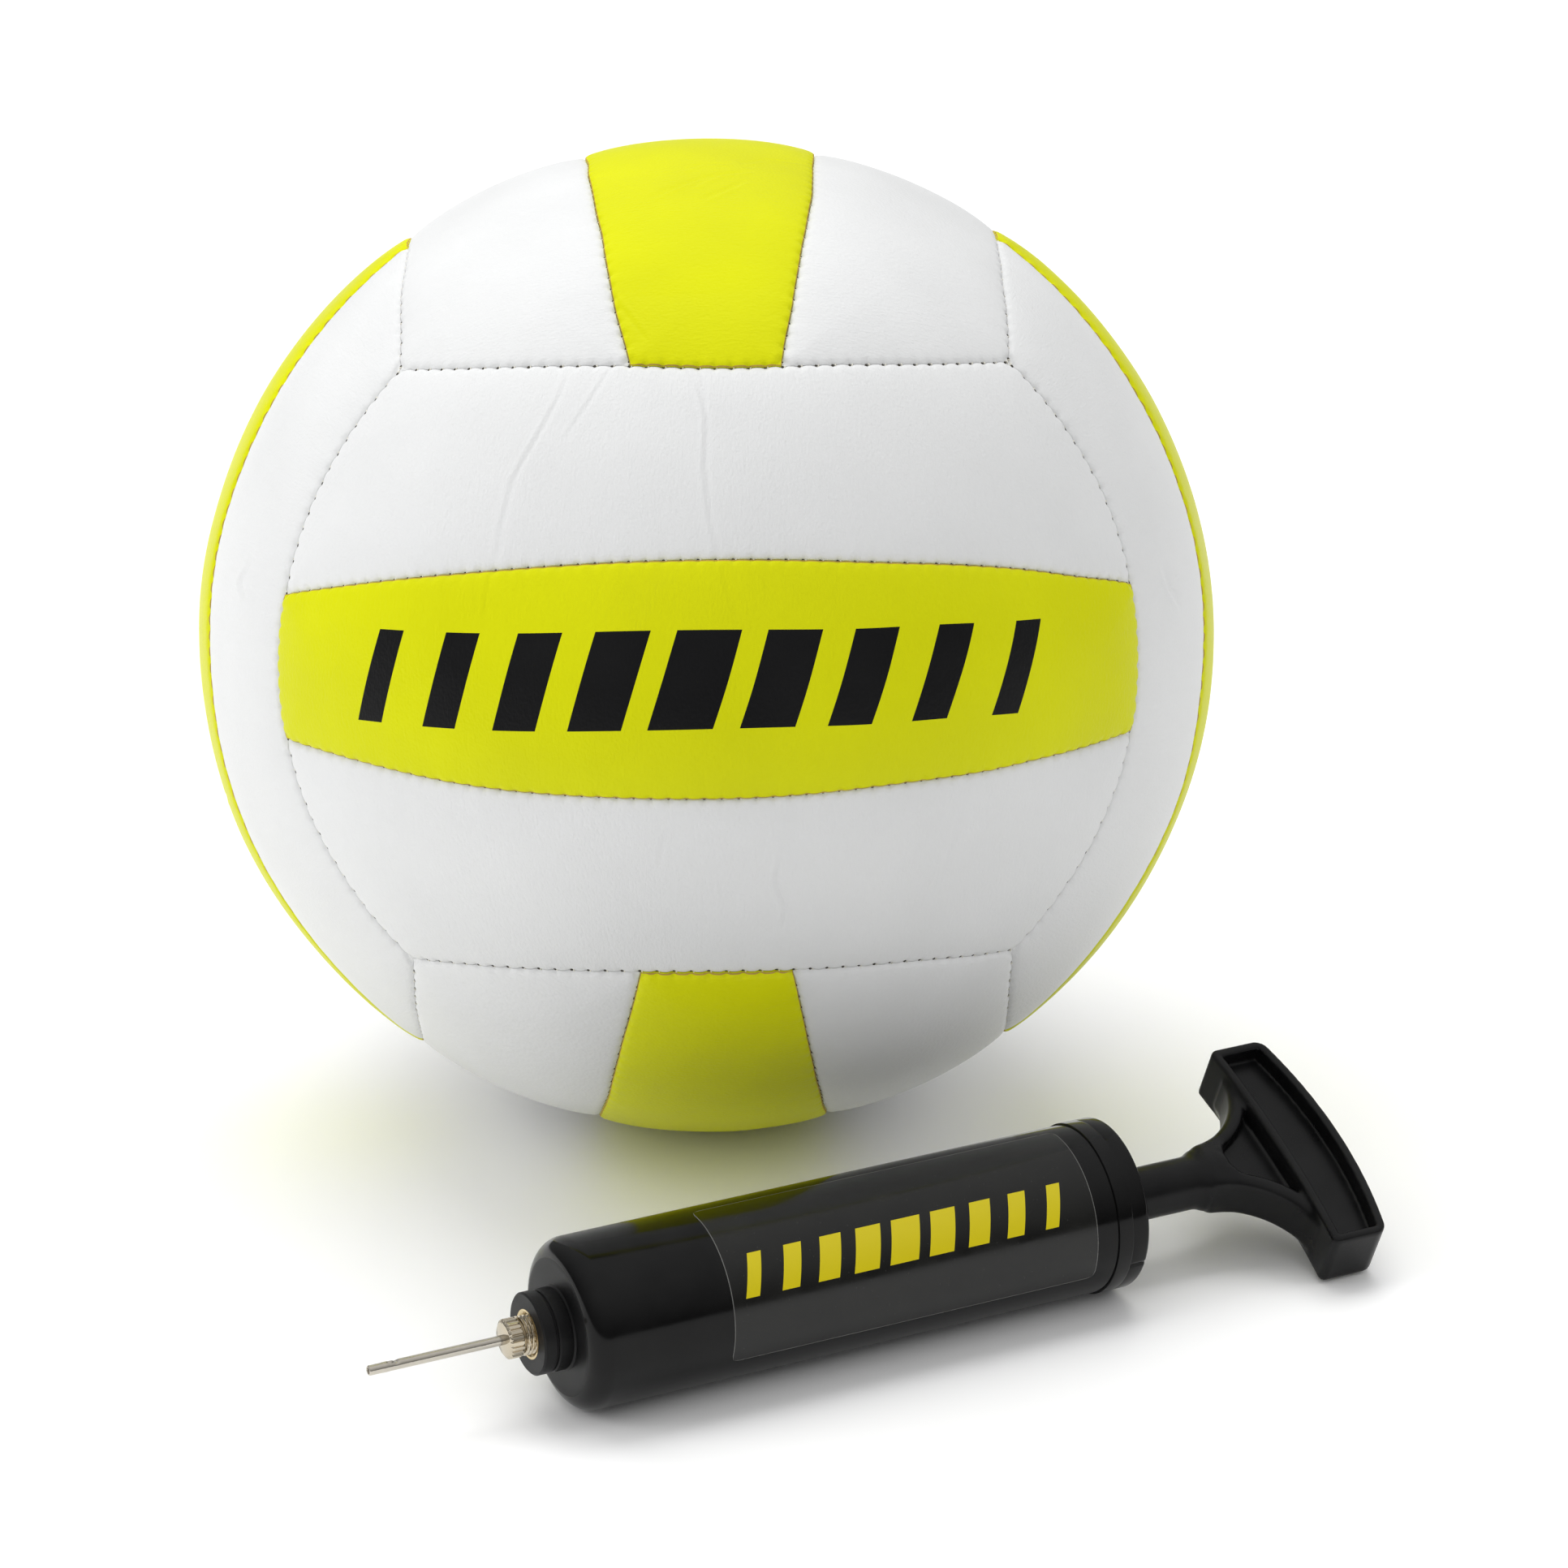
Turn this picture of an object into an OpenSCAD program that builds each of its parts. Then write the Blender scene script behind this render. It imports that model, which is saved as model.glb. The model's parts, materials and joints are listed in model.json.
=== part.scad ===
// Size 5 volleyball with its hand pump and inflating needle.
// Millimetres, +Z up. The origin is the point where the ball touches the floor.
// The pump lies on the same floor in front of the ball (-Y side), and its axis is level.
// Ball frame: x right, y up, z out of the front face. Each of its 6 faces has 3 strips.
// Pump frame: z runs along the barrel from the nozzle end to the handle, x points down, -y out
// to the front. Stations along the pump are measured from the barrel's nozzle end.

/* [Ball] */
// Diameter of the ball, size 5
ball_d = 210; // [206:0.5:214]
// Thickness of the stitched cover
cover_t = 1.5; // [1.2:0.1:2]
// Thickness of the cloth lining under the cover
lining_t = 0.8; // [0.5:0.1:1.2]
// Thickness of the bladder's wall
bladder_t = 0.7; // [0.5:0.1:1]
// Gap between neighbouring panels, which the stitches draw together
seam_gap = 0.6; // [0.4:0.1:1]
// Half-width of a middle panel at its two ends
strip_end = 15; // [12:0.5:18]
// Half-width of a middle panel halfway along
strip_mid = 24.1; // [20:0.1:26]
// Backward tilt of the front face, in degrees
ball_tilt = 15; // [0:1:30]
// Turn of the ball to the right, in degrees
ball_turn = 1.3; // [-5:0.1:5]
// Lean of the ball in its own front view, in degrees
ball_lean = 0.4; // [-5:0.1:5]

/* [Valve] */
// Radius of the valve's face in the cover
valve_r = 3.1; // [2.5:0.1:4]
// Radius of the valve's closed hole, which grips the needle
valve_hole_r = 0.95; // [0.8:0.05:1]
// Radius of the valve's flange inside the bladder
valve_flange_r = 8; // [6:0.5:12]
// Length of the valve, from the cover inwards
valve_l = 15; // [12:0.5:20]

/* [Pump barrel] */
// Outer diameter of the barrel
barrel_d = 34.3; // [33:0.1:36]
// Diameter of the barrel's bore
bore_d = 29.2; // [28:0.1:30]
// Radius of the rounded nozzle-end shoulder
shoulder_r = 4.5; // [3:0.5:6]
// Thickness of the barrel's nozzle-end wall
front_wall = 4.5; // [3:0.5:6]
// Station of the end cap's outer face
cap_face = 122.4; // [110:0.1:130]
// Outer diameter of the end cap
cap_d = 35; // [34.5:0.1:36]
// Length of the end cap's skirt and rim together
cap_l = 7.2; // [6:0.1:9]
// Thickness of the end cap's face
cap_wall = 2; // [1.5:0.1:3]
// Radius of the nozzle
nozzle_r = 8.2; // [7.5:0.1:9]
// Length of the nozzle in front of the barrel
nozzle_l = 6.4; // [5:0.1:8]
// Depth of the groove between the nozzle's two rings
nozzle_groove = 0.5; // [0.3:0.1:1]
// Outer radius of the threaded insert
insert_r = 4.95; // [4.6:0.05:5.5]

/* [Label] */
// Station where the clear label film starts
label_from = 29.6; // [20:0.1:35]
// Station where the label film ends
label_to = 110.5; // [90:0.1:112]
// Thickness of the label film
label_t = 0.1; // [0.05:0.05:0.2]
// Angle of the film's lower edge, below the pump's front line
label_low = 25.5; // [10:0.5:40]
// Angle of the film's upper edge, above the pump's front line
label_high = 96; // [70:1:120]

/* [Needle] */
// Radius of the needle's thread, 5/16-32
stud_r = 3.93; // [3.9:0.01:3.94]
// Radius of the needle's knurled collar
collar_r = 3.95; // [3.8:0.05:4.5]
// Length of the knurled collar
collar_l = 3; // [2:0.1:4]
// Distance from the barrel to the collar's outer face
collar_face = 11.5; // [10.5:0.1:12.5]
// Length of the threaded stud
stud_l = 5.6; // [5:0.1:6]
// Outer radius of the needle's tube
needle_r = 1; // [0.8:0.05:1.1]
// Radius of the air passage in the needle
needle_bore_r = 0.62; // [0.4:0.02:0.7]
// Distance from the barrel to the needle's tip
needle_tip = 39.7; // [34:0.1:44]
// Distance of the side hole from the needle's tip
side_hole_at = 4.5; // [3:0.1:6]

/* [Plunger] */
// Radius of the plunger rod
rod_r = 4; // [3.5:0.1:4.5]
// Running clearance of the rod in the end cap, on the radius
rod_fit = 0.06; // [0.03:0.01:0.1]
// Station of the piston's front face when pushed in
piston_front = 5.5; // [5:0.5:8]
// Length of the piston
piston_l = 9; // [8:0.5:12]
// Clearance of the piston in the bore, on the radius
piston_fit = 0.15; // [0.1:0.05:0.3]
// Radius of the sealing ring's cord
ring_cord_r = 1.15; // [1:0.05:1.3]
// Free travel of the sealing ring in its groove
ring_float = 1.8; // [1:0.1:2]

/* [Handle] */
// Half-length of the handle bar
bar_half = 27.3; // [24:0.1:32]
// Thickness of the handle bar, across its flat faces
bar_t = 12.4; // [10:0.1:14]
// Station of the bar's inner edge at its middle
bar_in = 161.2; // [150:0.1:170]
// Station of the bar's bowed outer edge at its middle
bar_out = 175.9; // [165:0.1:185]
// Width of the rim round the bar's recess
bar_rim = 2; // [1.5:0.1:3]
// Depth of the recess in each flat face of the bar
recess_depth = 3.6; // [2:0.1:4.5]
// Radius of the handle's neck
neck_r = 5.45; // [5:0.05:6]
// Gap between the end cap and the handle's neck
neck_gap = 2; // [1:0.1:4]
// Roll of the handle about the pump's axis, front end down, in degrees
handle_roll = 24.5; // [0:0.5:25]

/* [Placement] */
// Position of the barrel's nozzle end, left to right
pump_x = -27.3; // [-60:0.1:20]
// Position of the barrel's nozzle end, front to back
pump_y = -150.4; // [-170:0.1:-145]
// Turn of the pump's axis from left-to-right, in degrees
pump_turn = 27.4; // [0:0.1:30]

/* [Hidden] */
// Every circle has at least this many sides, so it is a true curve.
$fn = 96;
// A small overlap, so that cuts run clear of the faces they open.
eps = 1;

ball_r = ball_d / 2;
// Half the width of a cube face's outline on the sphere: its corners lie at (edge, edge, edge).
edge = ball_r / sqrt(3);
// Where a middle panel's seam plane lies: across = seam_offset + seam_slope * height.
seam_slope = (strip_mid - strip_end) / (ball_r - edge);
seam_offset = strip_end - seam_slope * edge;
seam_lean = atan(seam_slope);
half_gap = seam_gap / 2;
lining_r = ball_r - cover_t;
bladder_r = lining_r - lining_t;
inside_r = bladder_r - bladder_t;
thread_r = 0.22;
thread_depth = 0.8;
corner_gap = 1.5;
thread_circle = ball_r - thread_depth;
valve_mouth_r = 1.7;
valve_mouth_l = 1.2;
valve_stem_r = 4;
valve_sink = 0.3;
flange_t = 1.6;
// The flange's outer face just clears the curved inside of the bladder.
flange_top = sqrt(pow(inside_r, 2) - pow(valve_flange_r, 2)) - 0.05;

barrel_r = barrel_d / 2;
bore_r = bore_d / 2;
cap_r = cap_d / 2;
cap_start = cap_face - cap_l;
cap_step = 3.8;
cap_round = 0.8;
cap_seat_r = 16;
cap_seat_end = cap_face - cap_wall;
guide_r = 7.5;
guide_l = 4.4;
nozzle_split = nozzle_l / 2;
insert_l = nozzle_l + 0.2;
insert_hole_r = stud_r + 0.05;
insert_mouth_r = 4.5;
insert_mouth_l = 0.5;
air_r = 1;

stud_start = -collar_face + collar_l;
stud_end = stud_start + stud_l;
gasket_t = 0.8;
gasket_r = 3.4;
pilot_r = 1.9;
gasket_hole_r = pilot_r + 0.06;
gasket_gap = 0.05;
tube_in_hub = 4;
side_hole_r = 0.5;
tube_foot_r = needle_r + 0.25;
collar_bevel = 0.35;

piston_r = bore_r - piston_fit;
piston_back = piston_front + piston_l;
// The groove leaves the ring its free travel and a hair of play at each flank.
flank_play = 0.02;
groove_back = piston_back - 2.4;
groove_front = groove_back - 2 * ring_cord_r - ring_float - 2 * flank_play;
ring_centre_r = bore_r - 0.05 - ring_cord_r;
groove_r = ring_centre_r - ring_cord_r - 0.05;
ring_rest = groove_back - ring_cord_r - flank_play;
head_r = 5;
head_l = 2.2;
head_front = piston_front + 3.3;
head_fit = 0.06;
waist_r = 3;
shaft_start = piston_back + 0.5;

neck_start = cap_face + neck_gap;
socket_end = neck_start + 14;
leg_arc_r = 18;
leg_arc_at = 142.5;
leg_reach = 19.5;
leg_t = 9.6;
pocket_start = 147.3;
pocket_arc_r = 21.5;
pocket_depth = 3.2;
inner_bow_r = 260;
outer_bow_r = 106;
leg_centre = neck_r + leg_arc_r;

// Name, turn, number of quarter-cycle steps, and the strips from the low side to the high side
FACES = [
    ["front", [0, 0, 0], 0, ["lower", "middle", "upper"]],
    ["back", [0, 180, 0], 0, ["lower", "middle", "upper"]],
    ["right", [0, 0, 0], 1, ["rear", "middle", "front"]],
    ["left", [0, 180, 0], 1, ["front", "middle", "rear"]],
    ["top", [0, 0, 0], 2, ["left", "middle", "right"]],
    ["bottom", [180, 0, 0], 2, ["left", "middle", "right"]]
];
STRIPS = [0, 1, 2];
function panel_name(face, strip) = str("panel_", face[0], "_", face[3][strip]);

// ---- Frames ----

// Puts the ball frame in place: its z axis comes to the front and tilts up.
module in_ball() {
    translate([0, 0, ball_r])
        rotate([90, 0, 0])
            rotate([-ball_tilt, ball_turn, ball_lean])
                children();
}

// Swings x to y, y to z and z to x, the given number of times.
module cycled(steps) {
    if (steps == 0) children();
    else rotate([90, 0, 90]) cycled(steps - 1) children();
}

// A face's own frame: x along its strips, y across them, z outwards.
module on_face(face) {
    in_ball() rotate(face[1]) cycled(face[2]) children();
}

// Puts the pump frame in place.
module in_pump() {
    translate([pump_x, pump_y, cap_r])
        rotate([0, 0, pump_turn])
            rotate([0, 90, 0])
                children();
}

// ---- Ball ----

// Stands a flat outline, drawn as (across, height), up as a bar along the strips.
module along_strip() {
    rotate([90, 0, 90])
        linear_extrude(height = 2 * ball_d, center = true)
            children();
}

// Outline of one strip, from the plane where the strips end out past the ball's surface.
module strip_outline(strip) {
    low = edge + half_gap;
    high = ball_r + eps;
    w_low = seam_offset + seam_slope * low;
    w_high = seam_offset + seam_slope * high;
    side = edge - half_gap;
    if (strip == 1)
        polygon([[half_gap - w_low, low], [w_low - half_gap, low],
                 [w_high - half_gap, high], [half_gap - w_high, high]]);
    else
        mirror([strip == 0 ? 1 : 0, 0])
            polygon([[w_low + half_gap, low], [side, low], [side, high], [w_high + half_gap, high]]);
}

// One stitched panel: the cover's shell within its strip.
module panel(face, strip) {
    on_face(face)
        difference() {
            intersection() {
                sphere(ball_r);
                along_strip() strip_outline(strip);
            }
            sphere(lining_r);
            if (face[0] == "back" && strip == 1)
                cylinder(r = valve_r, h = ball_d);
        }
}

// A stitch line that runs along the strips on the plane y = 0, up to half_angle each side of the top.
module stitch_line(radius, half_angle) {
    rotate([90, 0, 0])
        rotate([0, 0, 90 - half_angle])
            rotate_extrude(angle = 2 * half_angle)
                translate([radius, 0]) circle(thread_r);
}

// The two long edges of a face and its two inner seams.
module face_stitches() {
    rim_r = sqrt(pow(thread_circle, 2) - pow(edge, 2));
    rim_angle = asin((edge - corner_gap) / rim_r);
    inner_at = seam_offset * cos(seam_lean);
    inner_r = sqrt(pow(thread_circle, 2) - pow(inner_at, 2));
    end_height = edge + corner_gap + seam_offset * cos(seam_lean) * sin(seam_lean);
    inner_angle = acos(end_height / (inner_r * cos(seam_lean)));
    for (side = [0, 1])
        mirror([0, side, 0]) {
            translate([0, edge, 0]) stitch_line(rim_r, rim_angle);
            rotate([-seam_lean, 0, 0])
                translate([0, inner_at, 0]) stitch_line(inner_r, inner_angle);
        }
}

module seam_thread() {
    color([0.2, 0.18, 0.12])
        for (face = FACES) on_face(face) face_stitches();
}

// A thin round shell with the valve's hole in its back.
module shell(outer_r, wall) {
    in_ball()
        difference() {
            sphere(outer_r);
            sphere(outer_r - wall);
            rotate([0, 180, 0]) cylinder(r = valve_r, h = ball_d);
        }
}

module lining() {
    color([0.85, 0.85, 0.8]) shell(lining_r, lining_t);
}

module bladder() {
    color([0.15, 0.15, 0.15]) shell(bladder_r, bladder_t);
}

// Rubber plug with a flange inside the bladder and one fine hole for the needle, wider at its mouth.
module valve() {
    top = ball_r - valve_sink;
    bottom = ball_r - valve_l;
    flange_bottom = flange_top - flange_t;
    color([0.1, 0.1, 0.1])
        in_ball() rotate([0, 180, 0])
            rotate_extrude()
                polygon([[valve_hole_r, bottom], [valve_stem_r, bottom],
                         [valve_stem_r, flange_bottom], [valve_flange_r, flange_bottom],
                         [valve_flange_r, flange_top], [valve_r, flange_top], [valve_r, top],
                         [valve_mouth_r, top], [valve_hole_r, top - valve_mouth_l]]);
}

// ---- Pump barrel ----

// Moulded barrel: closed nozzle end with a rounded shoulder, rear nozzle ring, and a seat for the cap.
module barrel() {
    color([0.06, 0.06, 0.06])
        in_pump()
            rotate_extrude()
                difference() {
                    union() {
                        translate([0, shoulder_r]) square([barrel_r, cap_start - shoulder_r]);
                        square([barrel_r - shoulder_r, shoulder_r]);
                        translate([barrel_r - shoulder_r, shoulder_r]) circle(shoulder_r);
                        translate([0, -nozzle_split]) square([nozzle_r, nozzle_split + eps]);
                        translate([0, cap_start - eps])
                            square([cap_seat_r, cap_seat_end - cap_start + eps]);
                    }
                    translate([0, front_wall]) square([bore_r, cap_face]);
                    square([air_r, front_wall + eps]);
                    translate([0, -nozzle_split - eps])
                        square([insert_r, nozzle_split + eps + insert_l - nozzle_l]);
                }
}

// Front ring of the nozzle. A fine groove parts it from the rear ring.
module nozzle_ring() {
    ring_l = nozzle_l - nozzle_split;
    groove_l = 0.4;
    color([0.06, 0.06, 0.06])
        in_pump()
            translate([0, 0, -nozzle_l])
                difference() {
                    union() {
                        cylinder(r = nozzle_r, h = ring_l - groove_l);
                        cylinder(r = nozzle_r - nozzle_groove, h = ring_l);
                    }
                    translate([0, 0, -eps]) cylinder(r = insert_r, h = ring_l + 2 * eps);
                }
}

// Plated brass insert that takes the needle's thread.
module thread_insert() {
    color([0.78, 0.7, 0.5])
        in_pump()
            translate([0, 0, -nozzle_l])
                difference() {
                    cylinder(r = insert_r, h = insert_l);
                    translate([0, 0, -eps]) cylinder(r = insert_hole_r, h = insert_l + 2 * eps);
                    translate([0, 0, -0.001])
                        cylinder(r1 = insert_mouth_r, r2 = insert_hole_r, h = insert_mouth_l);
                }
}

// End cap with its skirt, a slightly smaller rim, and the guide for the plunger rod.
module end_cap() {
    rim_r = cap_r - 0.2;
    rim_start = cap_face - cap_step;
    color([0.07, 0.07, 0.07])
        in_pump()
            rotate_extrude()
                difference() {
                    union() {
                        translate([0, cap_start]) square([cap_r, rim_start - cap_start]);
                        translate([0, rim_start - eps])
                            square([rim_r, cap_step + eps - cap_round]);
                        translate([0, cap_start]) square([rim_r - cap_round, cap_l]);
                        translate([rim_r - cap_round, cap_face - cap_round]) circle(cap_round);
                    }
                    difference() {
                        translate([0, cap_start - eps])
                            square([cap_seat_r, cap_seat_end - cap_start + eps]);
                        translate([0, cap_seat_end - guide_l]) square([guide_r, guide_l]);
                    }
                    translate([0, cap_start - eps])
                        square([rod_r + rod_fit, cap_l + 2 * eps]);
                }
}

// Clear label film wrapped on the side of the barrel.
module label_film() {
    span = label_low + label_high;
    color([0.3, 0.3, 0.28])
        in_pump()
            translate([0, 0, label_from])
                rotate([0, 0, 270 - label_high])
                    rotate_extrude(angle = span)
                        translate([barrel_r, 0]) square([label_t, label_to - label_from]);
}

// ---- Plunger ----

// Piston with the sealing ring's groove and a snap socket in which the rod turns.
module piston_head() {
    color([0.75, 0.75, 0.72])
        in_pump()
            difference() {
                translate([0, 0, piston_front]) cylinder(r = piston_r, h = piston_l);
                translate([0, 0, groove_front])
                    difference() {
                        cylinder(r = bore_r + eps, h = groove_back - groove_front);
                        translate([0, 0, -eps]) cylinder(r = groove_r, h = piston_l);
                    }
                translate([0, 0, head_front - head_fit])
                    cylinder(r = head_r + head_fit, h = head_l + 2 * head_fit);
                translate([0, 0, head_front]) cylinder(r = waist_r + head_fit, h = piston_l);
            }
}

// Rubber ring that floats in the groove and lets air past on the pull stroke.
module piston_ring() {
    color([0.08, 0.08, 0.08])
        in_pump()
            translate([0, 0, ring_rest])
                rotate_extrude() translate([ring_centre_r, 0]) circle(ring_cord_r);
}

module plunger_rod() {
    color([0.07, 0.07, 0.07])
        in_pump() {
            translate([0, 0, head_front]) cylinder(r = head_r, h = head_l);
            translate([0, 0, head_front]) cylinder(r = waist_r, h = shaft_start - head_front + eps);
            translate([0, 0, shaft_start]) cylinder(r = rod_r, h = socket_end - shaft_start);
        }
}

// ---- Handle ----

// Outline of the bar, drawn as (across the pump, station), drawn in by the given margin.
module bar_outline(margin) {
    half = bar_half - margin;
    difference() {
        intersection() {
            translate([-half, bar_in - eps]) square([2 * half, bar_out - bar_in + 2 * eps]);
            translate([0, bar_out - outer_bow_r]) circle(outer_bow_r - margin);
        }
        translate([0, bar_in - inner_bow_r]) circle(inner_bow_r + margin);
    }
}

// Outline left between the two arcs that flare from the neck to the bar.
module leg_outline(arc_r, start, reach) {
    difference() {
        translate([-reach, start]) square([2 * reach, bar_in - start + eps]);
        for (side = [-1, 1])
            translate([side * leg_centre, leg_arc_at]) circle(arc_r);
    }
}

// Lays an outline flat across the pump, as a slab about the handle's mid-plane.
module handle_slab(thickness) {
    rotate([0, 0, handle_roll])
        rotate([90, 0, 90])
            linear_extrude(height = thickness, center = true)
                children();
}

// The two pockets that the moulding leaves between the legs, one in each face.
module leg_pockets() {
    for (side = [-1, 1])
        rotate([0, 0, handle_roll])
            translate([side * (leg_t / 2 - pocket_depth / 2 + eps / 2), 0, 0])
                rotate([90, 0, 90])
                    linear_extrude(height = pocket_depth + eps, center = true)
                        leg_outline(pocket_arc_r, pocket_start, 14);
}

// The recess in each flat face of the bar.
module bar_recesses() {
    for (side = [-1, 1])
        rotate([0, 0, handle_roll])
            translate([side * (bar_t / 2 - recess_depth / 2 + eps / 2), 0, 0])
                rotate([90, 0, 90])
                    linear_extrude(height = recess_depth + eps, center = true)
                        bar_outline(bar_rim);
}

module handle_grip() {
    color([0.05, 0.05, 0.05])
        in_pump()
            difference() {
                union() {
                    difference() {
                        union() {
                            translate([0, 0, neck_start])
                                cylinder(r = neck_r, h = pocket_start - neck_start);
                            handle_slab(leg_t) leg_outline(leg_arc_r, leg_arc_at, leg_reach);
                        }
                        leg_pockets();
                    }
                    difference() {
                        handle_slab(bar_t) bar_outline(0);
                        bar_recesses();
                    }
                }
                translate([0, 0, neck_start - eps])
                    cylinder(r = rod_r, h = socket_end - neck_start + eps);
            }
}

// ---- Needle ----

// Rubber gasket that travels with the stud but doesn't turn.
module needle_gasket() {
    color([0.1, 0.1, 0.1])
        in_pump()
            translate([0, 0, stud_end + gasket_gap])
                difference() {
                    cylinder(r = gasket_r, h = gasket_t);
                    translate([0, 0, -eps]) cylinder(r = gasket_hole_r, h = gasket_t + 2 * eps);
                }
}

// Knurled collar and threaded stud, with a pilot for the gasket and a socket for the tube.
module needle_hub() {
    pilot_end = stud_end + gasket_gap + gasket_t;
    socket_bottom = tube_in_hub - collar_face;
    color([0.78, 0.72, 0.58])
        in_pump()
            rotate_extrude()
                polygon([[tube_foot_r, -collar_face], [collar_r - collar_bevel, -collar_face],
                         [collar_r, collar_bevel - collar_face], [collar_r, stud_start],
                         [stud_r, stud_start], [stud_r, stud_end], [pilot_r, stud_end],
                         [pilot_r, pilot_end], [needle_bore_r, pilot_end],
                         [needle_bore_r, socket_bottom], [tube_foot_r, socket_bottom]]);
}

// The tube, with a thicker foot that is brazed into the hub.
module needle_tube() {
    color([0.8, 0.78, 0.72])
        in_pump()
            difference() {
                rotate_extrude()
                    polygon([[needle_bore_r, -needle_tip], [needle_r, -needle_tip],
                             [needle_r, -collar_face], [tube_foot_r, -collar_face],
                             [tube_foot_r, tube_in_hub - collar_face],
                             [needle_bore_r, tube_in_hub - collar_face]]);
                translate([0, 0, side_hole_at - needle_tip])
                    rotate([0, -90, 0]) cylinder(r = side_hole_r, h = needle_r + eps);
            }
}

for (face = FACES, strip = STRIPS)
    color(strip == 1 ? [0.85, 0.87, 0.05] : [0.93, 0.93, 0.92]) panel(face, strip);
seam_thread();
lining();
bladder();
valve();
barrel();
nozzle_ring();
thread_insert();
end_cap();
label_film();
piston_head();
piston_ring();
plunger_rod();
handle_grip();
needle_gasket();
needle_hub();
needle_tube();
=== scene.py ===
"""Looks of a size 5 volleyball, its hand pump and its inflating needle, built round the CAD frame.

The geometry code works in millimetres, and meshes are written in metres. A ball face has its own
frame: x along its strips, y across them, z out of the ball. The pump's frame is (station, front, up):
station runs along the barrel from its nozzle end, front points out to the viewer's side.
"""
import json
import math

import bmesh
import bpy
import numpy as np
from mathutils import Matrix, Vector


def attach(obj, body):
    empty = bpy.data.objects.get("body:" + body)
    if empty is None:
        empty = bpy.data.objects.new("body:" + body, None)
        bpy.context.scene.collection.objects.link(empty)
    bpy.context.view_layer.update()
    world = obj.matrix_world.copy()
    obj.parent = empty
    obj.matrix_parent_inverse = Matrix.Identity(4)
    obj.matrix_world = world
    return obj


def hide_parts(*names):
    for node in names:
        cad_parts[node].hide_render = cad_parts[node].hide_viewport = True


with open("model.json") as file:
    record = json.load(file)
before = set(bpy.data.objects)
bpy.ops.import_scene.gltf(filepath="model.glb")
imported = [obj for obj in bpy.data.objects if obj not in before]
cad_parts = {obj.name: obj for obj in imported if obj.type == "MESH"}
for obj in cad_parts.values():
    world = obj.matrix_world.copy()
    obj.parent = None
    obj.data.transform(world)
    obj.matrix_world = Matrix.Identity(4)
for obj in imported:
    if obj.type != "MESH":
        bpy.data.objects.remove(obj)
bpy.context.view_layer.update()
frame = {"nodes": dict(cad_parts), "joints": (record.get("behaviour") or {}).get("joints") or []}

MM = 0.001
RNG = np.random.default_rng(7)

# ---- Driving dimensions, in millimetres and degrees ----

BALL_R = 105.0
EDGE = BALL_R / math.sqrt(3)
STRIP_END = 15.0
STRIP_MID = 24.1
SEAM_SLOPE = (STRIP_MID - STRIP_END) / (BALL_R - EDGE)
SEAM_OFFSET = STRIP_END - SEAM_SLOPE * EDGE
BALL_TILT = 15.0
BALL_TURN = 1.3
BALL_LEAN = 0.4
WIDTH_FACTOR = 1.0115
HEIGHT_FACTOR = 0.9885

CROWN = 0.55
YELLOW_CROWN = 0.35
ROLL_R = 1.5
ROLL_DROP = 0.5
PILLOW_DROP = 0.85
PILLOW_REACH = 5.5
CORNER_R = 2.4
LINING_R = 103.5
LINING_T = 0.8
BLADDER_T = 0.7
SEAM_FLOOR = 103.62
PANEL_BACK = 103.54
STITCH_PITCH = 3.4
VALVE_PIT_R = 3.35
SEAM_WANDER = 0.6
WANDER_FLATTENED = 0.55
SAG = 1.5
SAG_ALONG = 13.0
SAG_ACROSS = 12.0
UNDERSIDE_FACTOR = 0.9935
BACK_STRIDE = 8
# How many face rows at a yellow strip's edge are painted with seam shade.
SEAM_SHADE_ROWS = 2

BARREL_R = 17.15
BORE_R = 14.6
NOZZLE_R = 8.2
NOZZLE_SPLIT = -3.2
INSERT_R = 4.95
CAP_R = 17.5
CAP_START = 115.2
CAP_SEAT_R = 16.0
CAP_SEAT_END = 120.4
CAP_FACE = 122.4
GUIDE_R = 7.5
COLLAR_FACE = 11.5
THREAD_PITCH = 0.79375
NEEDLE_R = 1.0
NEEDLE_BORE_R = 0.62
HANDLE_ROLL = 24.5


# ---- Frames ----

def rotation(x, y, z):
    """Turns about x, then y, then z, in degrees, as a 3 x 3 array."""
    turn = Matrix.Rotation(math.radians(z), 3, "Z")
    turn = turn @ Matrix.Rotation(math.radians(y), 3, "Y")
    turn = turn @ Matrix.Rotation(math.radians(x), 3, "X")
    return np.array(turn)


BALL_TURNED = rotation(90, 0, 0) @ rotation(-BALL_TILT, BALL_TURN, BALL_LEAN)
CYCLE = rotation(90, 0, 90)
FACES = {
    "front": (rotation(0, 0, 0), ("lower", "middle", "upper")),
    "back": (rotation(0, 180, 0), ("lower", "middle", "upper")),
    "right": (CYCLE, ("rear", "middle", "front")),
    "left": (rotation(0, 180, 0) @ CYCLE, ("front", "middle", "rear")),
    "top": (CYCLE @ CYCLE, ("left", "middle", "right")),
    "bottom": (rotation(180, 0, 0) @ CYCLE @ CYCLE, ("left", "middle", "right")),
}

JOINTS = {joint["name"]: joint for joint in frame["joints"]}


def joint_vector(name, key):
    return np.array(JOINTS[name][key], dtype=float)


ALONG = joint_vector("plunger_slide", "axis")
UP = np.array([0.0, 0.0, 1.0])
FRONT = np.cross(ALONG, UP)
PUMP_AT = joint_vector("needle_turn", "pos_m") / MM + COLLAR_FACE * ALONG


def in_pump(station, front, up):
    """Points given in the pump's frame, as an n x 3 array in the row frame."""
    station, front, up = np.broadcast_arrays(station, front, up)
    spread = station[..., None] * ALONG + front[..., None] * FRONT + up[..., None] * UP
    return PUMP_AT + spread


# ---- Meshes ----

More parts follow.
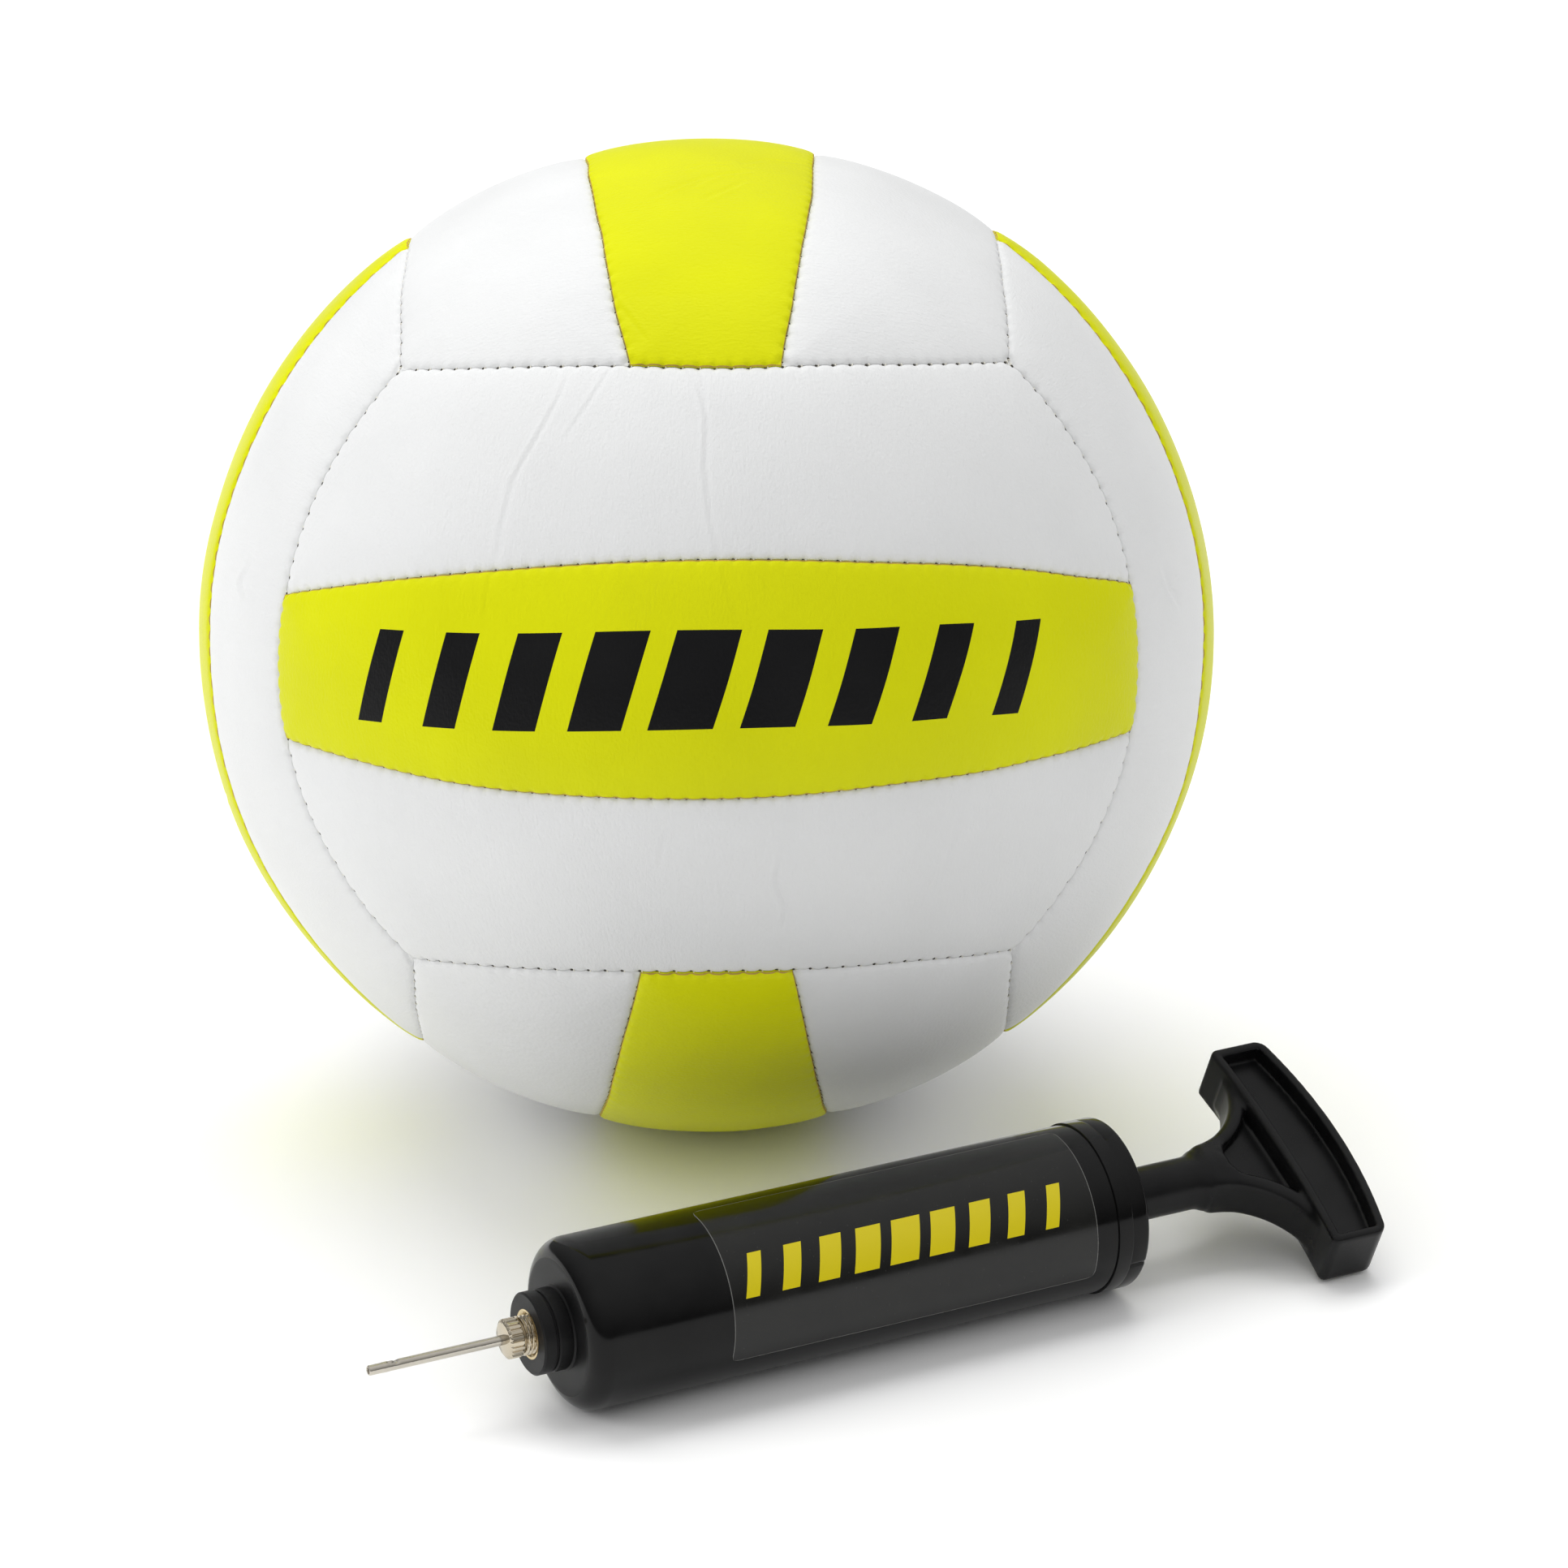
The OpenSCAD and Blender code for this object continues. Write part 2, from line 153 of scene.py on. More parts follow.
def make_object(name, body, points, faces, materials, uv=None, slots=None, sharp=None):
    """A smooth-shaded mesh object that rides on a body. Points are in millimetres."""
    mesh = bpy.data.meshes.new(name)
    mesh.from_pydata((np.asarray(points) * MM).tolist(), [], faces)
    for material in materials:
        mesh.materials.append(material)
    if slots is not None:
        mesh.polygons.foreach_set("material_index", slots)
    if uv is not None:
        corners = np.empty(len(mesh.loops), dtype=np.int32)
        mesh.loops.foreach_get("vertex_index", corners)
        layer = mesh.uv_layers.new(name="surface_mm")
        layer.data.foreach_set("uv", np.asarray(uv)[corners].ravel())
    work = bmesh.new()
    work.from_mesh(mesh)
    bmesh.ops.recalc_face_normals(work, faces=work.faces)
    work.to_mesh(mesh)
    work.free()
    mesh.shade_smooth()
    if sharp is not None:
        mesh.set_sharp_from_angle(angle=math.radians(sharp))
    piece = bpy.data.objects.new(name, mesh)
    bpy.context.scene.collection.objects.link(piece)
    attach(piece, body)
    return piece


def grid_faces(rows, columns, wrap=False, start=0):
    """Quads of a grid of points in row order. wrap joins each row's end to its start."""
    row, column = np.mgrid[0:rows - 1, 0:columns if wrap else columns - 1]
    after = (column + 1) % columns
    corners = [row * columns + column, row * columns + after,
               (row + 1) * columns + after, (row + 1) * columns + column]
    return (np.stack(corners, axis=-1).reshape(-1, 4) + start).tolist()


def rim_of(rows, columns):
    """Indices round the border of a grid, once round."""
    index = np.arange(rows * columns).reshape(rows, columns)
    return np.concatenate([index[0, :-1], index[:-1, -1], index[-1, :0:-1], index[:0:-1, 0]])


def arc(centre, radius, start, end, steps):
    """Points of an arc in (station, radius), angles in degrees."""
    angles = np.radians(np.linspace(start, end, steps + 1))
    return [(centre[0] + radius * math.cos(a), centre[1] + radius * math.sin(a)) for a in angles]


def lathe(name, body, profile, materials, segments=192, sharp=30, shape=None):
    """A solid of revolution about the pump's axis from a closed outline of (station, radius)."""
    outline = np.array(profile)
    angle = np.linspace(0, 2 * math.pi, segments, endpoint=False)
    station = np.repeat(outline[:, :1], segments, axis=1)
    radius = np.repeat(outline[:, 1:], segments, axis=1)
    turn = np.repeat(angle[None, :], len(outline), axis=0)
    if shape is not None:
        radius = shape(station, radius, turn)
    points = in_pump(station, radius * np.cos(turn), radius * np.sin(turn)).reshape(-1, 3)
    uv = np.stack([station, turn * radius.max()], axis=-1).reshape(-1, 2)
    faces = grid_faces(len(outline), segments, wrap=True)
    last = (len(outline) - 1) * segments
    first_row = np.arange(segments)
    after = (first_row + 1) % segments
    closing = np.stack([last + first_row, last + after, after, first_row], axis=-1)
    faces += closing.tolist()
    return make_object(name, body, points, faces, materials, uv=uv, sharp=sharp)


# ---- Material nodes ----

class Shader:
    """A material with one Principled shader, and short calls that add nodes to it."""

    def __init__(self, name, colour, roughness, **inputs):
        self.material = bpy.data.materials.new(name)
        self.material.use_nodes = True
        self.tree = self.material.node_tree
        self.surface = self.tree.nodes["Principled BSDF"]
        self.surface.inputs["Base Color"].default_value = (*colour, 1)
        self.surface.inputs["Roughness"].default_value = roughness
        for key, value in inputs.items():
            self.surface.inputs[key.replace("_", " ")].default_value = value
        self.material.diffuse_color = (*colour, 1)
        self.normal = None

    def node(self, kind, inputs=(), **settings):
        made = self.tree.nodes.new("ShaderNode" + kind)
        for key, value in settings.items():
            setattr(made, key, value)
        for key, value in dict(inputs).items():
            self.feed(made.inputs[key], value)
        return made

    def feed(self, socket, value):
        if isinstance(value, bpy.types.NodeSocket):
            self.tree.links.new(value, socket)
        else:
            socket.default_value = value

    def math(self, operation, first, second=0.0, clamp=False):
        inputs = {0: first, 1: second}
        return self.node("Math", inputs, operation=operation, use_clamp=clamp).outputs[0]

    def place(self, scale, space="Object"):
        """Coordinates in millimetres divided by the pattern's size on each axis."""
        if space == "UV":
            source = self.node("UVMap", uv_map="surface_mm").outputs[0]
            factor = [1 / size for size in scale]
        else:
            source = self.node("TexCoord").outputs["Object"]
            factor = [1 / (size * MM) for size in scale]
        mapped = self.node("Mapping", {"Vector": source, "Scale": factor})
        return mapped.outputs[0]

    def noise(self, vector, detail=2.0, roughness=0.5, distortion=0.0):
        inputs = {"Vector": vector, "Scale": 1.0, "Detail": detail,
                  "Roughness": roughness, "Distortion": distortion}
        return self.node("TexNoise", inputs).outputs[0]

    def ramp(self, value, low, high, from_low=0.0, from_high=1.0):
        inputs = {"Value": value, "From Min": from_low, "From Max": from_high,
                  "To Min": low, "To Max": high}
        return self.node("MapRange", inputs).outputs[0]

    def mix(self, factor, first, second):
        made = self.node("Mix", data_type="RGBA")
        self.feed(made.inputs[0], factor)
        self.feed(made.inputs[6], first if not isinstance(first, tuple) else (*first, 1))
        self.feed(made.inputs[7], second if not isinstance(second, tuple) else (*second, 1))
        return made.outputs[2]

    def bump(self, height, depth, strength=1.0):
        """Adds relief, depth in millimetres, on top of any bump made before."""
        inputs = {"Height": height, "Distance": depth * MM, "Strength": strength}
        if self.normal is not None:
            inputs["Normal"] = self.normal
        self.normal = self.node("Bump", inputs).outputs[0]
        self.feed(self.surface.inputs["Normal"], self.normal)

    def colour(self, value):
        self.feed(self.surface.inputs["Base Color"], value)

    def rough(self, value):
        self.feed(self.surface.inputs["Roughness"], value)


def slanted_bars(shader, middle, half_height, pitch, count, slant, widest, narrowest):
    """1 inside a row of slanted bars that get narrower towards its ends, else 0."""
    uv = shader.node("SeparateXYZ", {0: shader.place((1, 1, 1), "UV")})
    across = shader.math("SUBTRACT", uv.outputs[1], middle[1])
    leaned = shader.math("SUBTRACT", uv.outputs[0], middle[0])
    leaned = shader.math("SUBTRACT", leaned, shader.math("MULTIPLY", across, slant))
    step = shader.math("DIVIDE", leaned, pitch)
    cell = shader.math("ROUND", step)
    far = shader.math("ABSOLUTE", cell)
    local = shader.math("ABSOLUTE", shader.math("SUBTRACT", step, cell))
    share = shader.math("DIVIDE", far, (count - 1) / 2)
    half = shader.ramp(share, widest / 2, narrowest / 2)
    in_bar = shader.math("LESS_THAN", local, half)
    in_row = shader.math("LESS_THAN", far, count / 2)
    in_height = shader.math("LESS_THAN", shader.math("ABSOLUTE", across), half_height)
    return shader.math("MULTIPLY", shader.math("MULTIPLY", in_bar, in_row), in_height)


# ---- Materials ----

def leather(name, colour, shade, specular, printed=False):
    """Soft stitched cover: a fine grain across the strips, pebbling and faint mottling."""
    shader = Shader(name, colour, 0.42)
    shader.surface.inputs["Specular IOR Level"].default_value = specular
    mottle = shader.noise(shader.place((28, 28, 28)), detail=3)
    tint = shader.mix(shader.ramp(mottle, 0, 1, 0.3, 0.7), shade, colour)
    shader.rough(shader.ramp(mottle, 0.38, 0.47, 0.3, 0.7))
    waves = shader.noise(shader.place((0.6, 2.2, 1), "UV"), detail=3, roughness=0.6, distortion=0.6)
    shader.bump(waves, 0.09)
    pebbles = shader.node("TexVoronoi", {"Vector": shader.place((0.6, 0.6, 0.6)), "Scale": 1.0},
                          feature="SMOOTH_F1")
    shader.bump(pebbles.outputs[0], 0.05)
    if printed:
        mask = slanted_bars(shader, middle=(-3.0, 0.3), half_height=9.4, pitch=16.5, count=9,
                            slant=0.32, widest=0.74, narrowest=0.36)
        patch = shader.ramp(mottle, 0, 1, 0.3, 0.7)
        ink = shader.mix(patch, (0.004, 0.004, 0.0045), (0.007, 0.007, 0.0075))
        tint = shader.mix(mask, tint, ink)
    shader.colour(tint)
    return shader.material


def plastic(name, colour, roughness, grain, depth, wear=0.04, specular=0.5):
    """Moulded plastic with a fine texture and slightly uneven gloss."""
    shader = Shader(name, colour, roughness)
    shader.surface.inputs["Specular IOR Level"].default_value = specular
    cloud = shader.noise(shader.place((9, 9, 9)), detail=4)
    shader.rough(shader.ramp(cloud, roughness - wear, roughness + wear, 0.3, 0.7))
    lighter = tuple(min(1.0, part * 1.35 + 0.002) for part in colour)
    shader.colour(shader.mix(shader.ramp(cloud, 0, 1, 0.35, 0.65), colour, lighter))
    fine = shader.noise(shader.place((grain, grain, grain)), detail=3)
    shader.bump(fine, depth)
    return shader


def rubber(name, colour, roughness=0.6):
    return plastic(name, colour, roughness, 0.4, 0.015).material


def metal(name, colour, roughness, brushed=(0.3, 2.5, 2.5)):
    """Plated metal with faint turning marks and handling haze."""
    shader = Shader(name, colour, roughness, Metallic=1.0)
    haze = shader.noise(shader.place((3, 3, 3)), detail=3)
    shader.rough(shader.ramp(haze, roughness * 0.7, roughness * 1.4, 0.3, 0.7))
    darker = tuple(part * 0.8 for part in colour)
    shader.colour(shader.mix(haze, darker, colour))
    marks = shader.noise(shader.place(brushed), detail=2)
    shader.bump(marks, 0.008)
    return shader.material


def cloth_material():
    """Plain-woven lining glued under the cover."""
    shader = Shader("lining_cloth", (0.72, 0.71, 0.66), 0.85)
    warp = shader.node("TexWave", {"Vector": shader.place((1, 1, 1)), "Scale": 1.2}, bands_direction="X")
    weft = shader.node("TexWave", {"Vector": shader.place((1, 1, 1)), "Scale": 1.2}, bands_direction="Z")
    weave = shader.math("MAXIMUM", warp.outputs[1], weft.outputs[1])
    shader.colour(shader.mix(weave, (0.55, 0.54, 0.50), (0.76, 0.75, 0.70)))
    shader.bump(weave, 0.08)
    return shader.material


def film_material():
    """Clear film on the black barrel, with a row of printed bars: a haze with fine specks."""
    shader = Shader("label_film", (0.006, 0.006, 0.0055), 0.2, Coat_Weight=0.1, Coat_Roughness=0.12)
    shader.surface.inputs["Specular IOR Level"].default_value = 0.35
    haze = shader.noise(shader.place((6, 6, 6)), detail=3)
    patch = shader.ramp(haze, 0, 1, 0.35, 0.65)
    base = shader.mix(patch, (0.002, 0.002, 0.0014), (0.0042, 0.0042, 0.0032))
    specks = shader.node("TexVoronoi", {"Vector": shader.place((1.3, 1.3, 1.3)), "Scale": 1.0})
    speck = shader.ramp(specks.outputs[0], 1, 0, 0.03, 0.09)
    base = shader.mix(shader.math("MULTIPLY", speck, 0.5, clamp=True), base, (0.09, 0.09, 0.085))
    mask = slanted_bars(shader, middle=(68.5, 10.2), half_height=4.3, pitch=8.3, count=9,
                        slant=0.3, widest=0.76, narrowest=0.36)
    shader.colour(shader.mix(mask, base, (0.60, 0.50, 0.002)))
    shader.rough(shader.ramp(haze, 0.16, 0.26, 0.3, 0.7))
    shader.bump(shader.noise(shader.place((2.2, 2.2, 2.2)), detail=2), 0.01)
    return shader.material


def floor_material():
    shader = Shader("studio_floor", (0.96, 0.96, 0.96), 0.6)
    cloud = shader.noise(shader.place((400, 400, 400)), detail=2)
    shader.colour(shader.mix(cloud, (0.97, 0.97, 0.97), (0.985, 0.985, 0.985)))
    return shader.material


YELLOW_TONES = ((0.645, 0.665, 0.001), (0.605, 0.62, 0.001))
WHITE = leather("cover_white", (0.72, 0.725, 0.725), (0.69, 0.695, 0.695), 0.22)
YELLOW = leather("cover_yellow", *YELLOW_TONES, 0.13)
PRINTED = leather("cover_yellow_printed", *YELLOW_TONES, 0.13, printed=True)
THREAD = plastic("thread", (0.62, 0.60, 0.52), 0.7, 0.12, 0.02).material
# Brownish line of painted shade standing for the shade in the seam groove at the yellow strips' edges.
SEAM_SHADE = plastic("seam_painted_shade", (0.36, 0.24, 0.04), 0.8, 0.3, 0.02).material
# Nearly black beads at the stitches: painted shade of the stitch holes.
HOLE_SHADE = plastic("stitch_hole_shade", (0.05, 0.045, 0.035), 0.9, 0.2, 0.02).material
CLOTH = cloth_material()
BLADDER = rubber("bladder_rubber", (0.03, 0.03, 0.03))
VALVE = rubber("valve_rubber", (0.022, 0.022, 0.022), 0.5)
GLOSSY = plastic("barrel_plastic", (0.0018, 0.0018, 0.0018), 0.14, 1.6, 0.006,
                 wear=0.03, specular=0.2).material
MATTE = plastic("nozzle_plastic", (0.004, 0.004, 0.0042), 0.42, 0.25, 0.02, specular=0.2).material
SATIN = plastic("handle_plastic", (0.003, 0.003, 0.0032), 0.30, 0.5, 0.012, specular=0.2).material
PALE = plastic("piston_plastic", (0.62, 0.62, 0.58), 0.4, 0.5, 0.01).material
SEAL = rubber("seal_rubber", (0.02, 0.02, 0.02), 0.45)
BRASS = metal("insert_brass", (0.72, 0.58, 0.33), 0.25)
PLATED = metal("plated_brass", (0.62, 0.55, 0.43), 0.16)
STEEL = metal("needle_steel", (0.60, 0.56, 0.49), 0.14, (2.5, 0.2, 0.2))
FILM = film_material()
FILM_EDGE = plastic("label_film_edge", (0.10, 0.10, 0.095), 0.3, 0.3, 0.01).material


# ---- Ball ----

def unit(vectors):
    return vectors / np.linalg.norm(vectors, axis=-1, keepdims=True)


# Directions, wavelengths in millimetres and strengths of the ball's small irregularities.
WANDER = [(unit(RNG.normal(size=3)), unit(RNG.normal(size=3)), length, size, RNG.uniform(0, 6.28))
          for length, size in ((95, 0.5), (70, 0.45), (52, 0.35), (33, 0.22), (21, 0.12), (13, 0.07))
          for _ in range(3)]


# Where the front face meets the top face. The yellow strip's end hangs a little over that seam.
SEAM_Y = BALL_R * math.sqrt(0.5)


def settled(points):
    """Ball points moved from the true sphere to the real one: seams wander, and the ball sits down."""
    out = unit(points)
    drift = np.zeros_like(points)
    for push, along, length, size, phase in WANDER:
        wave = np.sin(points @ along * (2 * math.pi / length) + phase)
        drift += size * SEAM_WANDER * wave[..., None] * push
    x, y, z = points[..., 0], points[..., 1], points[..., 2]
    sag = SAG * np.exp(-(x / SAG_ALONG) ** 2 - ((y - SEAM_Y) / SAG_ACROSS) ** 2) * (z > 0)
    drift += sag[..., None] * np.array([0, -math.sqrt(0.5), math.sqrt(0.5)])
    inward = (drift * out).sum(axis=-1, keepdims=True) * out
    moved = (points + drift - WANDER_FLATTENED * inward) @ BALL_TURNED.T
    low = np.clip((-moved[..., 2] / BALL_R - 0.9) / 0.1, 0, 1)
    low = low * low * (3 - 2 * low)
    height = HEIGHT_FACTOR + (UNDERSIDE_FACTOR - HEIGHT_FACTOR) * low
    settled_z = BALL_R + moved[..., 2] * height
    return np.stack([moved[..., 0] * WIDTH_FACTOR, moved[..., 1], np.maximum(settled_z, 0.02)], axis=-1)


SIDE = (EDGE, 0.0)
INNER = (SEAM_OFFSET, SEAM_SLOPE)


def mirrored(plane):
    return (-plane[0], -plane[1])


# Each strip's low and high seam plane, as (offset, slope): across = offset + slope * height.
STRIP_PLANES = [(mirrored(SIDE), mirrored(INNER)), (mirrored(INNER), INNER), (INNER, SIDE)]


def plane_circle(plane):
    """How far the seam plane lies from the ball's centre, and the radius of its circle."""
    distance = plane[0] / math.hypot(1, plane[1])
    return distance, math.sqrt(BALL_R ** 2 - distance ** 2)


def strip_points(low, high, u, v):
    """Points on the sphere: u from -1 to 1 along the strip, v from 0 to 1 across it."""
    offset = low[0] + (high[0] - low[0]) * v
    slope = low[1] + (high[1] - low[1]) * v
    stretch = np.sqrt(1 + slope ** 2)
    centre_y = offset / stretch ** 2
    centre_z = -offset * slope / stretch ** 2
    radius = np.sqrt(BALL_R ** 2 - (offset / stretch) ** 2)
    angle = u * np.arccos((EDGE - centre_z) * stretch / radius)
    reach = radius * np.cos(angle)
    return np.stack([radius * np.sin(angle), centre_y + reach * slope / stretch,
                     centre_z + reach / stretch], axis=-1)


def seam_distance(points, plane):
    """Distance over the surface from a seam plane, and the place along that seam."""
    x, y, z = points[..., 0], points[..., 1], points[..., 2]
    stretch = math.hypot(1, plane[1])
    distance, radius = plane_circle(plane)
    away = BALL_R * (np.arcsin((y - plane[1] * z) / stretch / BALL_R) - math.asin(distance / BALL_R))
    along = radius * np.arctan2(x, (plane[1] * y + z) / stretch)
    return away, along


def end_distance(points):
    """Distance over the surface from the plane where strips end, and the place along that seam."""
    x, y, z = points[..., 0], points[..., 1], points[..., 2]
    away = BALL_R * (np.arcsin(np.clip(z / BALL_R, -1, 1)) - math.asin(EDGE / BALL_R))
    along = math.sqrt(BALL_R ** 2 - EDGE ** 2) * np.arctan2(y, np.abs(x))
    return away, along


def stitch_pull(away, along):
    """How near a point is to a stitch: 1 at the stitch, fading along and away from the seam."""
    phase = along / STITCH_PITCH - 0.5
    near = (phase - np.round(phase)) * STITCH_PITCH
    return np.exp(-(near / 0.62) ** 2) * np.exp(-(np.maximum(away, 0) / 1.3) ** 2)


def pucker(away, along):
    """Soft ripples that run off a seam between its stitches."""
    ripple = np.sin(along * 2 * math.pi / (2 * STITCH_PITCH) + 1.3 * np.sin(along / 11.0))
    return ripple * np.exp(-np.maximum(away, 0) / 3.2)


def rounded_corner(first, second):
    """One distance from two edges, with a round corner between them."""
    a = np.maximum(CORNER_R - first, 0)
    b = np.maximum(CORNER_R - second, 0)
    return np.where((a > 0) & (b > 0), CORNER_R - np.hypot(a, b), np.minimum(first, second))


def edge_drop(away):
    """How far the cover has sunk at a distance from the seam: a tight roll and a broad pillow."""
    inside = np.clip(1 - away / ROLL_R, 0, 1)
    roll = 1 - np.sqrt(1 - inside ** 2)
    return ROLL_DROP * roll + PILLOW_DROP * np.exp(-np.maximum(away, 0) / PILLOW_REACH)


def fold(x, y, route, width, depth):
    """A fine crease along a short route: a low lip beside a shallow furrow."""
    height = np.zeros_like(x)
    best = np.full_like(x, 1e9)
    length = sum(math.dist(a, b) for a, b in zip(route, route[1:]))
    done = 0.0
    for (ax, ay), (bx, by) in zip(route, route[1:]):
        run = math.hypot(bx - ax, by - ay)
        tx, ty = (bx - ax) / run, (by - ay) / run
        t = np.clip((x - ax) * tx + (y - ay) * ty, 0, run)
        px, py = x - ax - t * tx, y - ay - t * ty
        away = np.hypot(px, py)
        side = np.sign(px * ty - py * tx)
        at = (done + t) / length
        taper = np.sqrt(np.clip(4 * at * (1 - at), 0, 1))
        wave = side * away / width
        profile = taper * depth * (wave * np.exp(0.5 - wave ** 2 / 2) * 0.7 - 0.5 * np.exp(-wave ** 2))
        closer = away < best
        height = np.where(closer, profile, height)
        best = np.where(closer, away, best)
        done += run
    return height


# Creases by panel: a route over the face in millimetres (along, across), a width and a depth.
CREASES = {
    "panel_front_upper": [
        ([(-7.5, 66), (-2.6, 60), (-0.6, 52), (-0.6, 42), (0.4, 33), (2.2, 24)], 0.46, 0.22),
        ([(-2.2, 66), (-1.2, 60), (-0.8, 54)], 0.42, 0.12),
        ([(-33, 63), (-34, 57), (-37, 49), (-41, 40), (-42.6, 31), (-43.4, 24)], 0.46, 0.2),
        ([(-23, 64), (-27, 56), (-31, 48)], 0.44, 0.13),
    ],
    "panel_front_middle": [
        ([(2.4, 24), (3.4, 17), (5.5, 11)], 0.4, 0.12),
        ([(-44, 24), (-45, 17), (-45, 11)], 0.4, 0.11),
        ([(10, 20), (13, 14)], 0.4, 0.08),
    ],
    "panel_front_lower": [
        ([(14, -34), (12.5, -41), (15, -48), (14, -55)], 0.46, 0.2),
        ([(-10, -30), (-12, -38)], 0.4, 0.08),
        ([(52, -30), (50, -42), (46, -52)], 0.5, 0.12),
    ],
    "panel_top_middle": [
        ([(50, -10), (45, -4), (40, 2)], 0.6, 0.24),
        ([(46, -2), (40, 3), (37, 10)], 0.6, 0.26),
        ([(52, 0), (46, 6), (42, 9)], 0.55, 0.22),
        ([(33, 8), (28, 14), (26, 21)], 0.6, 0.22),
        ([(38, -6), (34, 0), (33, 6)], 0.55, 0.16),
        ([(94, -11), (88, -14), (80, -18)], 0.5, 0.14),
        ([(-44, -14), (-49, -9), (-56, -6)], 0.6, 0.25),
    ],
    "panel_right_front": [([(20, 52), (14, 50), (9, 45)], 0.8, 0.3)],
    "panel_left_front": [([(24, -50), (18, -46), (14, -50)], 0.8, 0.3)],
    "panel_top_left": [([(40, -40), (46, -34), (52, -33)], 0.7, 0.15)],
    "panel_back_upper": [([(-20, 60), (-24, 48), (-22, 34)], 0.6, 0.25)],
    "panel_back_lower": [([(18, -30), (22, -42), (20, -56)], 0.6, 0.25)],
    "panel_left_middle": [([(-30, 18), (-34, 4), (-32, -14)], 0.6, 0.2)],
    "panel_right_rear": [([(-8, -34), (-4, -46), (-6, -58)], 0.6, 0.25)],
    "panel_bottom_middle": [([(-20, 10), (-12, 0), (-8, -12)], 0.7, 0.25)],
}

# How far from a panel's edge its first grid lines lie, in millimetres.
EDGE_ROWS = (0.05, 0.16, 0.32, 0.55, 0.85, 1.2, 1.6, 2.1)


def spaced(length, step):
    """Shares from 0 to 1 along a length, close together at both ends, in a multiple of 8 steps."""
    inner = length / 2 - EDGE_ROWS[-1]
    half = max(4, math.ceil(inner / step / 4) * 4)
    start = np.array(EDGE_ROWS[:-1])
    middle = np.linspace(EDGE_ROWS[-1], length - EDGE_ROWS[-1], 2 * half + 3)
    return np.concatenate([start, middle, length - start[::-1]]) / length


def panel_surface(name, face, strip, u, v):
    """The cover's outer points in the face's frame, and their places over the face."""
    low, high = STRIP_PLANES[strip]
    base = strip_points(low, high, u, v)
    low_away, low_along = seam_distance(base, low)
    high_away, high_along = seam_distance(base, high)
    end_away, end_along = end_distance(base)
    high_away = -high_away
    stitches = [(low_away, low_along), (high_away, high_along), (end_away, end_along)]
    pull = np.max([stitch_pull(*each) for each in stitches], axis=0)
    ripple = np.sum([pucker(*each) for each in stitches], axis=0)
    side_away = rounded_corner(low_away, end_away)
    away = np.minimum(side_away, rounded_corner(high_away, end_away))
    drop = edge_drop(away - 0.42 * pull) + 0.18 * pull
    crown = CROWN + (YELLOW_CROWN if strip == 1 else 0)
    x = BALL_R * np.arctan2(base[..., 0], base[..., 2])
    y = BALL_R * np.arcsin(base[..., 1] / BALL_R)
    radius = BALL_R + crown - drop + 0.05 * ripple
    for route, width, depth in CREASES.get(name, ()):
        radius = radius + fold(x, y, route, width, depth)
    if name == "panel_back_middle":
        from_valve = np.hypot(base[..., 0], base[..., 1])
        pit = np.clip((VALVE_PIT_R + 0.45 - from_valve) / 0.45, 0, 1)
        radius = radius - 2.6 * pit * pit * (3 - 2 * pit)
        radius = radius - 0.35 * np.exp(-((from_valve - VALVE_PIT_R) / 1.6) ** 2)
    radius = np.maximum(radius, SEAM_FLOOR)
    return unit(base) * radius[..., None], np.stack([x, y], axis=-1)


def panel_shares(name, strip, step):
    """Where the grid lines of a panel lie, closer round the valve."""
    length, width = (198.0, 47.0) if strip == 1 else (170.0, 43.0)
    u = spaced(length, step) * 2 - 1
    v = spaced(width, step)
    if name == "panel_back_middle":
        near = 0.07
        crowding = 0.8
        u = u - near * 0.62 * np.sin(np.pi * np.clip(u / near / 3, -1, 1)) * crowding
        v = v - 0.11 * np.sin(np.pi * np.clip((v - 0.5) / 0.45, -1, 1)) * crowding
    return u, v


def close_back(points, faces, rows, columns, back):
    """Adds a coarser back surface to a grid and joins it to the grid's border."""
    stride = BACK_STRIDE
    outer = rim_of(rows, columns)
    back_rows, back_columns = (rows - 1) // stride + 1, (columns - 1) // stride + 1
    coarse = back.reshape(rows, columns, 3)[::stride, ::stride].reshape(-1, 3)
    start = len(points)
    inner = rim_of(back_rows, back_columns) + start
    faces += grid_faces(back_rows, back_columns, start=start)
    count = len(inner)
    for i in range(count):
        for k in range(-stride // 2, stride // 2):
            j = (i * stride + k) % len(outer)
            faces.append((int(inner[i]), int(outer[j]), int(outer[(j + 1) % len(outer)])))
        j = (i * stride + stride // 2) % len(outer)
        faces.append((int(inner[i]), int(outer[j]), int(inner[(i + 1) % count])))
    return np.concatenate([points, coarse]), faces


